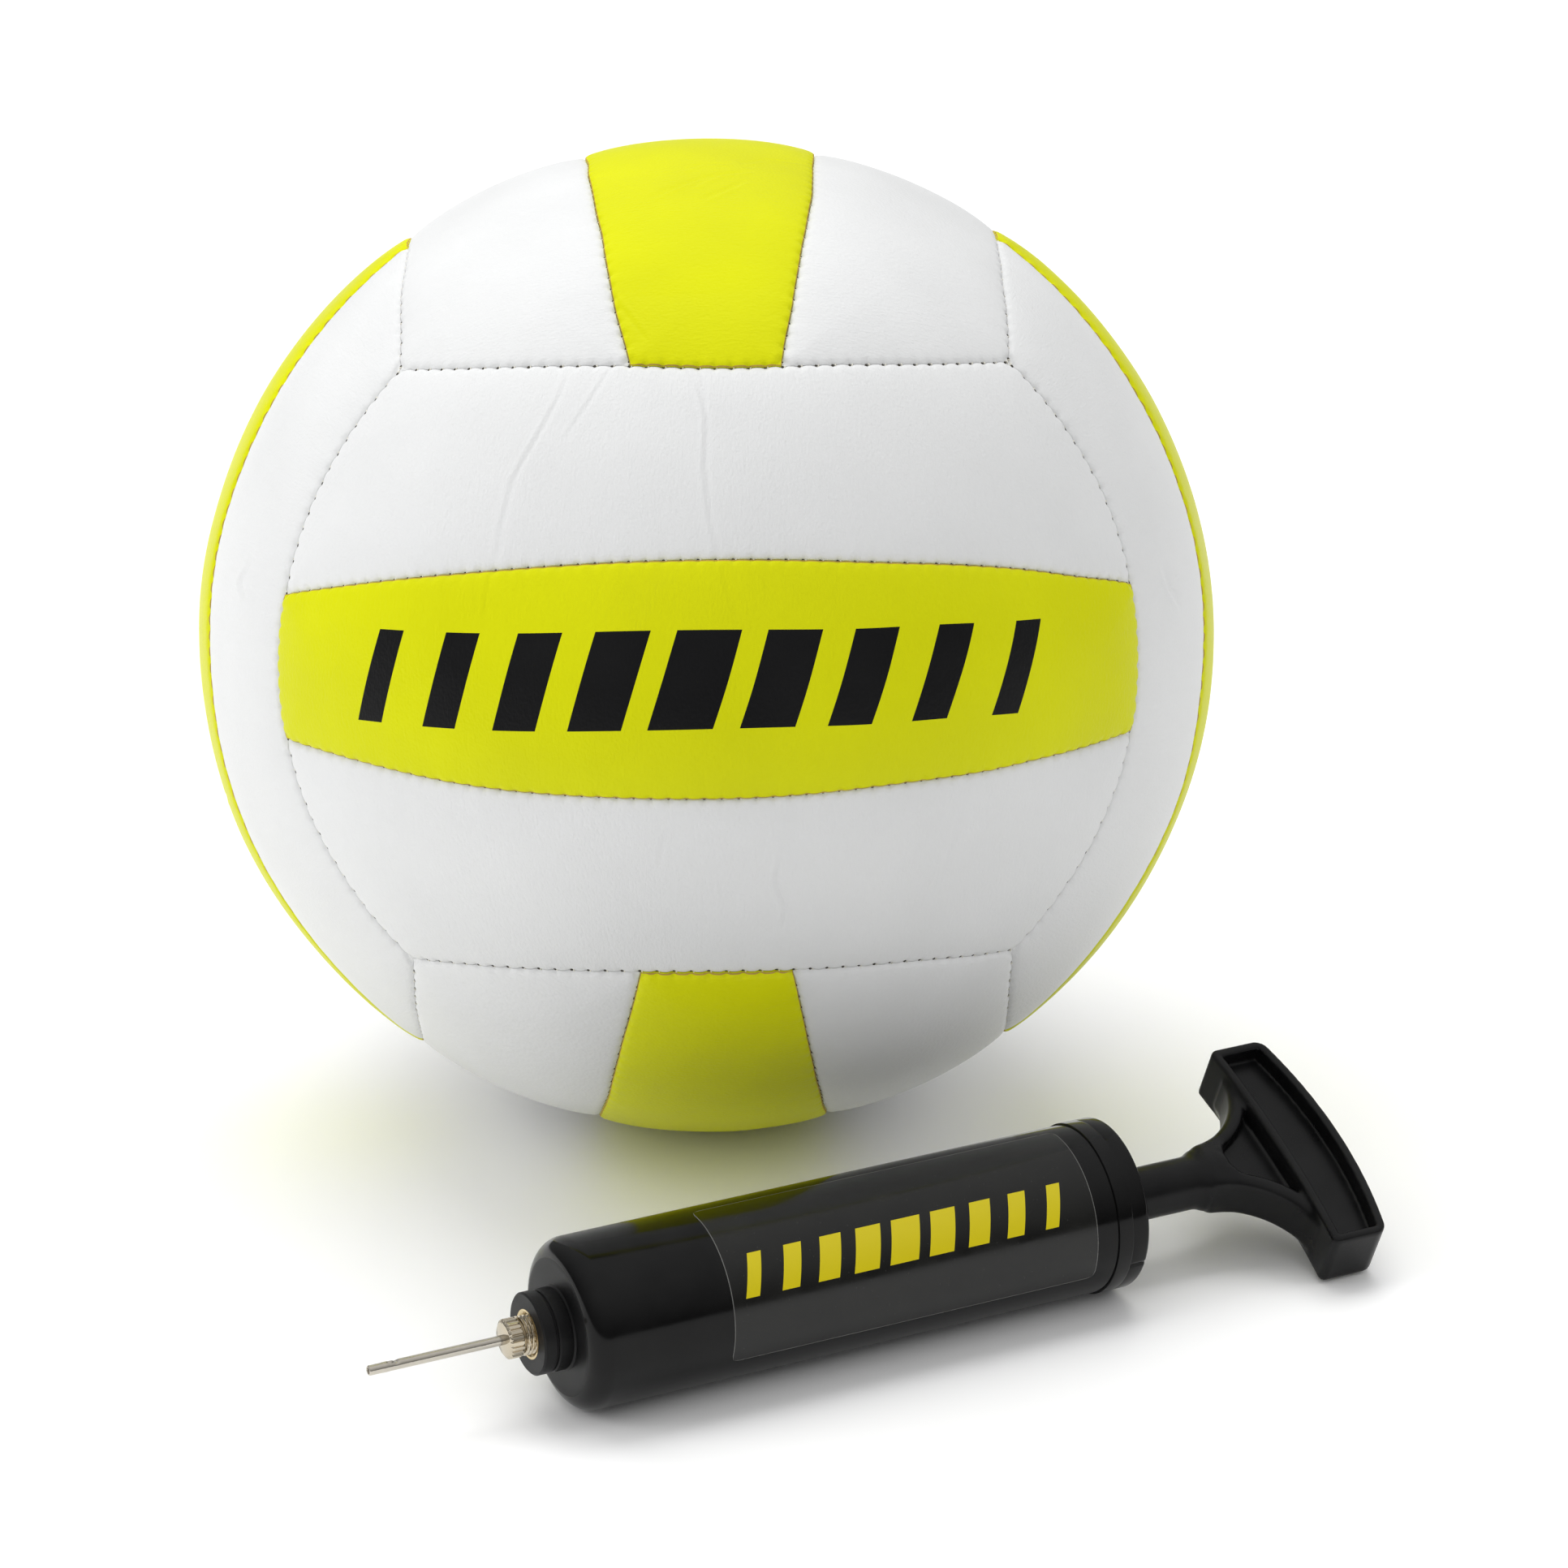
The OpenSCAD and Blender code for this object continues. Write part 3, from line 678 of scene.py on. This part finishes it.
def build_panel(face, strip, material):
    turn, strip_names = FACES[face]
    name = f"panel_{face}_{strip_names[strip]}"
    step = {"front": 0.5, "top": 0.55}.get(face, 0.75)
    u_shares, v_shares = panel_shares(name, strip, step)
    v, u = np.meshgrid(v_shares, u_shares, indexing="ij")
    surface, places = panel_surface(name, face, strip, u, v)
    rows, columns = u.shape
    outer = surface.reshape(-1, 3)
    back = unit(outer) * PANEL_BACK
    points, faces = close_back(outer, grid_faces(rows, columns), rows, columns, back)
    shift = np.array([400.0, 130.0]) * list(FACES).index(face)
    flat = places.reshape(-1, 2) + shift
    coarse = flat.reshape(rows, columns, 2)[::BACK_STRIDE, ::BACK_STRIDE].reshape(-1, 2)
    uv = np.concatenate([flat, coarse])
    row, column = np.divmod(np.arange((rows - 1) * (columns - 1)), columns - 1)
    border = np.minimum(np.minimum(row, rows - 2 - row), np.minimum(column, columns - 2 - column))
    # The edge rows of the yellow strips take the painted seam shade; white panels get none.
    in_seam_shade = border < (SEAM_SHADE_ROWS if strip == 1 else 0)
    slots = in_seam_shade.astype(int).tolist() + [0] * (len(faces) - len(in_seam_shade))
    piece = make_object(f"cover_{name}", "ball", settled(points @ turn.T), faces,
                        [material, SEAM_SHADE], uv=uv, slots=slots)
    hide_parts(name)


def build_panels():
    for face in FACES:
        build_panel(face, 0, WHITE)
        build_panel(face, 1, PRINTED if face == "front" else YELLOW)
        build_panel(face, 2, WHITE)


def seam_frames(plane, half_angle_length):
    """Centre, along, across and outward direction of each stitch on a seam plane."""
    distance, radius = plane_circle(plane)
    stretch = math.hypot(1, plane[1])
    normal = np.array([0, 1, -plane[1]]) / stretch
    lift = np.array([0, plane[1], 1]) / stretch
    count = int(half_angle_length / STITCH_PITCH)
    places = (np.arange(-count, count + 1) + 0.5) * STITCH_PITCH
    places = places[np.abs(places) < half_angle_length]
    angle = places / radius
    sine, cosine = np.sin(angle)[:, None], np.cos(angle)[:, None]
    side = np.array([1.0, 0, 0])
    centre = normal * distance + radius * (sine * side + cosine * lift)
    out = centre / BALL_R
    along = cosine * side - sine * lift
    return centre, along, np.cross(out, along), out


def seam_half_length(plane):
    """Half the length of the seam on a plane, up to where the strips end."""
    end = strip_points(plane, plane, np.array(1.0), np.array(0.5))
    return float(seam_distance(end, plane)[1])


def thread_bit(centre, along, across, out, lean):
    """A short bent length of thread across the seam."""
    t = np.linspace(-1, 1, 5)[:, None]
    middle = centre + 0.6 * t * across + (0.5 + lean * t) * along - (0.74 + 0.5 * t ** 2) * out
    angle = np.linspace(0, 2 * math.pi, 6, endpoint=False)
    ring = np.cos(angle)[:, None] * along + np.sin(angle)[:, None] * out
    thickness = np.array([0.06, 0.12, 0.14, 0.12, 0.06])
    return (middle[:, None, :] + thickness[:, None, None] * ring[None]).reshape(-1, 3)


def painted_hole_shade(centre, along, across, out):
    """Painted shade for the hole under a stitch: a dark low bead between the two panel edges."""
    rings = []
    angle = np.linspace(0, 2 * math.pi, 8, endpoint=False)
    circle = 0.36 * np.cos(angle)[:, None] * along + 0.32 * np.sin(angle)[:, None] * across
    for size, height in ((0.3, -0.86), (0.85, -0.9), (1.0, -1.1), (0.6, -1.4)):
        rings.append(centre + height * out + size * circle)
    return np.concatenate(rings)


def build_stitches():
    points, faces, slots = [], [], []
    start = 0
    for turn, _ in FACES.values():
        for plane in (SIDE, mirrored(SIDE), INNER, mirrored(INNER)):
            frames = seam_frames(plane, seam_half_length(plane) - 0.8)
            for k, (centre, along, across, out) in enumerate(zip(*frames)):
                lean = 0.22 if k % 2 else -0.12
                # Each stitch gets a thread bit and a dark bead of painted hole shade.
                for part, rows, count, slot in (
                        (thread_bit(centre, along, across, out, lean), 5, 6, 0),
                        (painted_hole_shade(centre, along, across, out), 4, 8, 1)):
                    points.append(part @ turn.T)
                    caps = [list(range(start, start + count)),
                            list(range(start + (rows - 1) * count, start + rows * count))]
                    made = grid_faces(rows, count, wrap=True, start=start) + caps
                    faces += made
                    slots += [slot] * len(made)
                    start += rows * count
    piece = make_object("seam_stitches", "ball", settled(np.concatenate(points)), faces,
                        [THREAD, HOLE_SHADE], slots=slots)
    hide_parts("seam_thread")


def build_shell(name, node, outer, wall, material):
    """A thin round layer under the cover, with the valve's hole at the back."""
    rows, columns = 72, 128
    hole_r = 3.3
    angle = np.linspace(math.asin(hole_r / outer), math.pi, rows)
    ring = np.linspace(0, 2 * math.pi, columns, endpoint=False)
    layers = []
    for radius, order in ((outer, angle[::-1]), (outer - wall, angle)):
        sine, cosine = np.sin(order)[:, None], np.cos(order)[:, None]
        x = radius * sine * np.cos(ring)
        y = radius * sine * np.sin(ring)
        z = -radius * cosine + 0 * ring
        layers.append(np.stack([x, y, z], axis=-1).reshape(-1, 3))
    points = np.concatenate(layers)
    faces = grid_faces(2 * rows, columns, wrap=True)
    piece = make_object(name, "ball", settled(points), faces, [material])
    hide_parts(node)


# ---- Pump ----

def build_barrel():
    shoulder = 4.5
    groove = 0.35
    front_wall = 4.5
    insert_end = 0.2
    air_r = 1.0
    outline = arc((shoulder, BARREL_R - shoulder), shoulder, 180, 90, 14)
    outline += [(30, BARREL_R), (70, BARREL_R), (115.15, BARREL_R), (CAP_START, BARREL_R - 0.2),
                (CAP_START, CAP_SEAT_R), (CAP_SEAT_END, CAP_SEAT_R), (CAP_SEAT_END, BORE_R), (60, BORE_R),
                (front_wall, BORE_R), (front_wall, air_r), (insert_end, air_r), (insert_end, INSERT_R),
                (-3.1, INSERT_R)]
    outline += [(NOZZLE_SPLIT, 5.05), (NOZZLE_SPLIT, NOZZLE_R - 0.25), (-2.95, NOZZLE_R),
                (-0.5, NOZZLE_R), (-groove, 8.1), (0, 8.55)]
    piece = lathe("pump_barrel", "pump", outline, [GLOSSY, MATTE])
    mesh = piece.data
    slots = []
    for polygon in mesh.polygons:
        place = np.array(polygon.center) / MM - PUMP_AT
        station = float(place @ ALONG)
        radius = math.hypot(float(place @ FRONT), float(place[2]))
        slots.append(1 if station < 0.35 and radius < 13.6 else 0)
    mesh.polygons.foreach_set("material_index", slots)
    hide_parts("barrel")


def build_nozzle_ring():
    end = -6.4
    groove_r = 7.7
    outline = [(end, 5.0), (end, 7.85), (-6.1, NOZZLE_R), (-3.85, NOZZLE_R), (-3.6, 7.95),
               (-3.6, groove_r), (NOZZLE_SPLIT, groove_r), (NOZZLE_SPLIT, 4.97), (-6.2, 4.97)]
    piece = lathe("nozzle_front_ring", "pump", outline, [MATTE])
    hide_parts("nozzle_ring")


def build_cap():
    rim = CAP_R - 0.03
    face = CAP_FACE
    outline = [(115.3, 16.02), (CAP_START, BARREL_R + 0.02), (115.35, CAP_R), (118.35, CAP_R),
               (118.5, CAP_R - 0.02), (118.56, rim - 0.03), (118.66, rim - 0.03), (118.75, rim)]
    outline += arc((face - 0.9, rim - 0.9), 0.9, 90, 0, 8)
    outline += [(face, 14.2), (face - 0.25, 13.9), (face - 0.25, 7.6), (face, 7.3), (face, 4.3),
                (face - 0.25, 4.06), (116, 4.06), (116, GUIDE_R), (CAP_SEAT_END, GUIDE_R),
                (CAP_SEAT_END, 16.02)]

    def with_split(station, radius, turn):
        """A short moulding split low on the front of the rim."""
        away = np.abs((turn - math.radians(-22) + math.pi) % (2 * math.pi) - math.pi)
        notch = np.exp(-(away * CAP_R / 0.35) ** 2) * ((station > 118.6) & (radius > 16.5))
        return radius - 0.35 * notch

    piece = lathe("pump_end_cap", "pump", outline, [GLOSSY], segments=256, shape=with_split)
    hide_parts("end_cap")


def build_label():
    """The film follows the barrel, with round corners and a pale cut edge."""
    start, end = 29.6, 110.5
    low, high = math.radians(-25.5) * BARREL_R, math.radians(96) * BARREL_R
    corner = 1.6
    border = 0.16
    along = np.concatenate([[0, border], np.linspace(corner, end - start - corner, 60),
                            [end - start - border, end - start]])
    around = np.concatenate([[0, border], np.linspace(corner, high - low - corner, 64),
                             [high - low - border, high - low]])
    s, w = np.meshgrid(along, around)
    rows, columns = s.shape
    near_s = np.minimum(s, end - start - s)
    near_w = np.minimum(w, high - low - w)
    pull_s = np.where(near_w < corner / 2, np.maximum(0.4 - near_s, 0), 0)
    s = s + np.sign((end - start) / 2 - s) * pull_s
    pull_w = np.where(near_s < corner / 2, np.maximum(0.4 - near_w, 0), 0)
    w = w + np.sign((high - low) / 2 - w) * pull_w
    angle = (low + w) / BARREL_R
    station = start + s
    layers = []
    for radius in (BARREL_R + 0.1, BARREL_R + 0.01):
        layers.append(in_pump(station, radius * np.cos(angle), radius * np.sin(angle)).reshape(-1, 3))
    faces = grid_faces(rows, columns)
    count = rows * columns
    back = grid_faces(rows, columns, start=count)
    rim = rim_of(rows, columns)
    walls = [(int(a), int(b), int(b) + count, int(a) + count) for a, b in zip(rim, np.roll(rim, -1))]
    row, column = np.divmod(np.arange((rows - 1) * (columns - 1)), columns - 1)
    on_border = (row == 0) | (row == rows - 2) | (column == 0) | (column == columns - 2)
    slots = on_border.astype(int).tolist() + [0] * len(back) + [1] * len(walls)
    uv = np.stack([station, low + w], axis=-1).reshape(-1, 2)
    piece = make_object("label_film_printed", "pump", np.concatenate(layers), faces + back + walls,
                        [FILM, FILM_EDGE], uv=np.concatenate([uv, uv]), slots=slots)
    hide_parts("label_film")


# ---- Handle ----

def surface_nets(field, step):
    """Points and quads of the zero surface of a sampled field, negative inside, from its corner."""
    cells = tuple(n - 1 for n in field.shape)
    total = np.zeros((*cells, 3))
    hits = np.zeros(cells)
    corners = [(i, j, k) for i in (0, 1) for j in (0, 1) for k in (0, 1)]

    def corner_values(corner):
        return field[tuple(slice(c, c + n) for c, n in zip(corner, cells))]

    for first in corners:
        for axis in range(3):
            if first[axis]:
                continue
            second = tuple(c + (n == axis) for n, c in enumerate(first))
            a, b = corner_values(first), corner_values(second)
            crossed = (a < 0) != (b < 0)
            share = np.where(crossed, a / np.where(crossed, a - b, 1), 0)
            for n in range(3):
                total[..., n] += crossed * (first[n] + (share if n == axis else 0))
            hits += crossed
    active = hits > 0
    index = np.full(cells, -1)
    index[active] = np.arange(active.sum())
    places = np.argwhere(active) + total[active] / hits[active][:, None]
    quads = []
    for axis in range(3):
        p, q = [n for n in range(3) if n != axis]
        trim = [slice(1, -1)] * 3
        trim[axis] = slice(0, -1)
        ahead = [slice(1, -1)] * 3
        ahead[axis] = slice(1, None)
        crossed = (field[tuple(trim)] < 0) != (field[tuple(ahead)] < 0)
        at = np.argwhere(crossed)
        at[:, p] += 1
        at[:, q] += 1
        around = []
        for dp, dq in ((-1, -1), (0, -1), (0, 0), (-1, 0)):
            cell = at.copy()
            cell[:, p] += dp
            cell[:, q] += dq
            around.append(index[tuple(cell.T)])
        quads.append(np.stack(around, axis=-1))
    return places * step, np.concatenate(quads).tolist()


def slab(flat, thick, half, rounding):
    """Field of a flat outline given a thickness, with rounded edges."""
    a = flat + rounding
    b = np.abs(thick) - half + rounding
    return np.minimum(np.maximum(a, b), 0) + np.hypot(np.maximum(a, 0), np.maximum(b, 0)) - rounding


def blend_union(a, b, reach):
    mixed = np.clip(0.5 + 0.5 * (b - a) / reach, 0, 1)
    return b * (1 - mixed) + a * mixed - reach * mixed * (1 - mixed)


def blend_cut(a, b, reach):
    return -blend_union(-a, b, reach)


def rounded_meet(first, second, corner):
    """Field of the area inside two edges, with a round corner where they meet."""
    both = np.maximum(first, second)
    rounded = np.hypot(np.maximum(first + corner, 0), np.maximum(second + corner, 0)) - corner
    return np.where(both < -corner, both, rounded)


def handle_field(across, thick, station):
    """Distance field of the T handle: neck, flared legs with a pocket, and the hollow-faced bar."""
    neck_r, neck_start, neck_end, neck_edge = 5.45, 124.4, 149, 0.5
    radial = np.hypot(across, thick)
    past_wall = radial - neck_r + neck_edge
    past_ends = np.maximum(neck_start + neck_edge - station, station - neck_end)
    corner = np.hypot(np.maximum(past_wall, 0), np.maximum(past_ends, 0))
    neck = np.minimum(np.maximum(past_wall, past_ends), 0) + corner - neck_edge
    arc_r, pocket_arc_r, arc_at, legs_start, legs_end = 18, 21.3, 142.5, 144, 163
    from_arc = np.hypot(np.abs(across) - (neck_r + arc_r), station - arc_at)
    past_legs = np.maximum(station - legs_end, np.abs(across) - 20.5)
    legs_flat = np.maximum(np.maximum(arc_r - from_arc, legs_start - station), past_legs)
    legs = slab(legs_flat, thick, 4.8, 1.6)
    flare = 0.7 * (radial - 5.5 - 1.5 * np.maximum(station - legs_start, 0))
    legs = blend_cut(legs, -flare, 1.0)
    pocket_arc = pocket_arc_r - from_arc
    pocket_flat = np.maximum(pocket_arc, np.maximum(147.3 - station, station - 161.2))
    pocket = np.maximum(pocket_flat, 1.7 - np.abs(thick))
    legs = blend_cut(legs, pocket, 0.9)
    outer_bow_r, bar_out, inner_bow_r, bar_in, bar_half = 106, 175.9, 260, 161.2, 27.3
    bow_out = np.hypot(across, station - (bar_out - outer_bow_r)) - outer_bow_r
    bow_in = inner_bow_r - np.hypot(across, station - (bar_in - inner_bow_r))
    end_flat = np.abs(across) - bar_half
    bar_corner = 2.2
    outline = np.maximum(rounded_meet(bow_out, end_flat, bar_corner),
                         rounded_meet(bow_in, end_flat, bar_corner * 0.7))
    bar = slab(outline, thick, 6.2, 0.7)
    recess = np.maximum(outline + 2.0, 2.6 - np.abs(thick))
    bar = blend_cut(bar, recess, 0.7)
    whole = blend_union(neck, legs, 3.2)
    return blend_union(whole, bar, 1.2)


def build_handle():
    step = 0.4
    half_across, half_thick, start, end = 28.6, 7.6, 123.2, 177.4
    sizes = (2 * half_across, 2 * half_thick, end - start)
    lows = (-half_across, -half_thick, start)
    axes = [np.arange(int(size / step) + 1) * step + low for size, low in zip(sizes, lows)]
    grid = np.meshgrid(*axes, indexing="ij")
    places, quads = surface_nets(handle_field(*grid), step)
    across = places[:, 0] - half_across
    thick = places[:, 1] - half_thick
    station = places[:, 2] + start
    roll = math.radians(HANDLE_ROLL)
    front = -math.cos(roll) * across - math.sin(roll) * thick
    up = math.sin(roll) * across - math.cos(roll) * thick
    piece = make_object("handle_moulding", "handle", in_pump(station, front, up), quads, [SATIN])
    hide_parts("handle_grip")


# ---- Needle ----

def build_hub():
    """Bevelled, notched collar, a relief neck and a threaded stud."""
    face = -COLLAR_FACE
    crest, root = 3.92, 3.5
    bore = NEEDLE_BORE_R
    collar = [(face, NEEDLE_R), (face, 3.2), (face + 0.12, 3.4), (face + 0.45, 3.9)]
    collar += [(face + x, 3.95) for x in np.linspace(0.6, 2.75, 9)]
    collar += [(face + 2.85, 3.8), (face + 3.0, 3.6), (face + 3.02, 3.3), (face + 3.3, 3.25)]
    stud = [(s, crest) for s in np.arange(face + 3.4, -3.0, 0.066)]
    tail = [(-2.9, 3.3), (-2.9, 1.9), (-2.05, 1.85), (-2.05, bore), (face + 4, bore), (face + 4, NEEDLE_R)]

    def cut(station, radius, turn):
        on_collar = (station > face + 0.4) & (station < face + 2.8) & (radius > 3.7)
        notch = np.clip(np.cos(turn * 22) * 2.4 - 0.7, 0, 1)
        knurled = radius - 0.34 * notch * on_collar
        on_stud = (station > face + 3.35) & (station < -2.95) & (radius > 3.7)
        phase = (station / THREAD_PITCH - turn / (2 * math.pi)) % 1.0
        ridge = 1 - np.abs(2 * phase - 1)
        threaded = root + (crest - root) * np.clip(ridge * 1.35 - 0.1, 0, 1)
        return np.where(on_stud, threaded, knurled)

    piece = lathe("needle_collar_and_stud", "needle", collar + stud + tail, [PLATED], segments=264,
                  sharp=40, shape=cut)
    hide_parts("needle_hub")


def build_tube():
    """Thin tube with a turned-in tip, a crimp and a side hole near the tip."""
    tip, end, outer, inner = -39.7, -7.5, NEEDLE_R, NEEDLE_BORE_R
    hole_at = tip + 4.5
    outline = [(tip + 0.12, inner), (tip, inner + 0.08), (tip, outer - 0.16), (tip + 0.1, outer - 0.04),
               (tip + 0.25, outer)]
    outline += [(s, outer) for s in np.arange(tip + 0.5, tip + 7, 0.12)]
    outline += [(s, outer) for s in np.arange(tip + 7.5, end, 1.5)]
    outline += [(end, outer), (end, inner)]
    outline += [(s, inner) for s in np.arange(end - 1.5, tip + 7, -1.5)]
    outline += [(s, inner) for s in np.arange(tip + 7, tip + 0.5, -0.12)]

    def crimp(station, radius, turn):
        near = np.exp(-((station - hole_at - 1.2) / 0.5) ** 2)
        on_top = np.clip(np.sin(turn), 0, 1) ** 3
        pressed = radius * (1 - 0.32 * near * on_top)
        swell = 0.05 * np.exp(-((station - hole_at + 1.0) / 0.5) ** 2)
        reach = np.hypot(station - hole_at, (turn - math.pi / 2) * outer)
        mouth = np.clip((0.72 - reach) / 0.14, 0, 1)
        floor = 0.3
        opened = np.where(radius > 0.8, pressed + swell - 0.75 * mouth, radius - floor * mouth)
        return np.maximum(opened, 0.12)

    piece = lathe("needle_tube_bent_tip", "needle", outline, [STEEL], segments=72, sharp=50, shape=crimp)
    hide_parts("needle_tube")


def paint_cad_nodes():
    """The CAD pieces whose shape is already right keep it and get their finish."""
    finishes = {"valve": VALVE, "thread_insert": BRASS, "piston_head": PALE, "piston_ring": SEAL,
                "plunger_rod": SATIN, "needle_gasket": SEAL}
    for node, material in finishes.items():
        for slot in frame["nodes"][node].material_slots:
            slot.material = material


# ---- Studio ----

def build_camera():
    data = bpy.data.cameras.new("camera")
    data.sensor_width = 36
    data.lens = 129.41
    data.clip_start = 0.05
    data.clip_end = 50
    camera = bpy.data.objects.new("camera", data)
    camera.location = (0.01631, -1.12477, 0.50706)
    camera.rotation_euler = (math.radians(90 - 21.17), 0, 0)
    bpy.context.scene.collection.objects.link(camera)
    bpy.context.scene.camera = camera


def soft_light(name, location, target, size, watts):
    """A large soft lamp that doesn't show as a hard reflection in glossy surfaces."""
    data = bpy.data.lights.new(name, "AREA")
    data.shape = "RECTANGLE"
    data.size, data.size_y = size
    data.energy = watts
    light = bpy.data.objects.new(name, data)
    light.location = location
    light.rotation_euler = (Vector(target) - Vector(location)).to_track_quat("-Z", "Y").to_euler()
    light.visible_glossy = False
    bpy.context.scene.collection.objects.link(light)


def build_studio():
    scene = bpy.context.scene
    scene.view_settings.view_transform = "Standard"
    world = bpy.data.worlds.new("studio")
    world.use_nodes = True
    tree = world.node_tree
    direction = tree.nodes.new("ShaderNodeTexCoord")
    parts = tree.nodes.new("ShaderNodeSeparateXYZ")
    ramp = tree.nodes.new("ShaderNodeMapRange")
    ramp.inputs["To Min"].default_value = 0.12
    ramp.inputs["To Max"].default_value = 0.88
    tree.links.new(direction.outputs["Generated"], parts.inputs[0])
    tree.links.new(parts.outputs[2], ramp.inputs["Value"])
    tree.links.new(ramp.outputs[0], tree.nodes["Background"].inputs[1])
    tree.nodes["Background"].inputs[0].default_value = (1, 1, 1, 1)
    scene.world = world
    mesh = bpy.data.meshes.new("studio_floor")
    work = bmesh.new()
    bmesh.ops.create_grid(work, x_segments=8, y_segments=8, size=12)
    work.to_mesh(mesh)
    work.free()
    mesh.materials.append(floor_material())
    floor = bpy.data.objects.new("studio_floor", mesh)
    scene.collection.objects.link(floor)
    soft_light("overhead", (-0.25, 0.75, 2.0), (0, 0, 0), (2.2, 1.8), 32.5)
    soft_light("left_side", (-1.7, -0.5, 0.9), (0, 0, 0.1), (1.0, 1.5), 14)
    soft_light("right_side", (1.7, -0.3, 1.1), (0, 0, 0.1), (0.9, 1.4), 4.5)
    soft_light("front_fill", (0.2, -2.4, 1.5), (0, 0, 0.1), (2.0, 1.6), 6.5)


build_camera()
build_studio()
build_panels()
build_stitches()
build_shell("lining_layer", "lining", LINING_R, LINING_T, CLOTH)
build_shell("bladder_layer", "bladder", LINING_R - LINING_T, BLADDER_T, BLADDER)
build_barrel()
build_nozzle_ring()
build_cap()
build_label()
build_handle()
build_hub()
build_tube()
paint_cad_nodes()
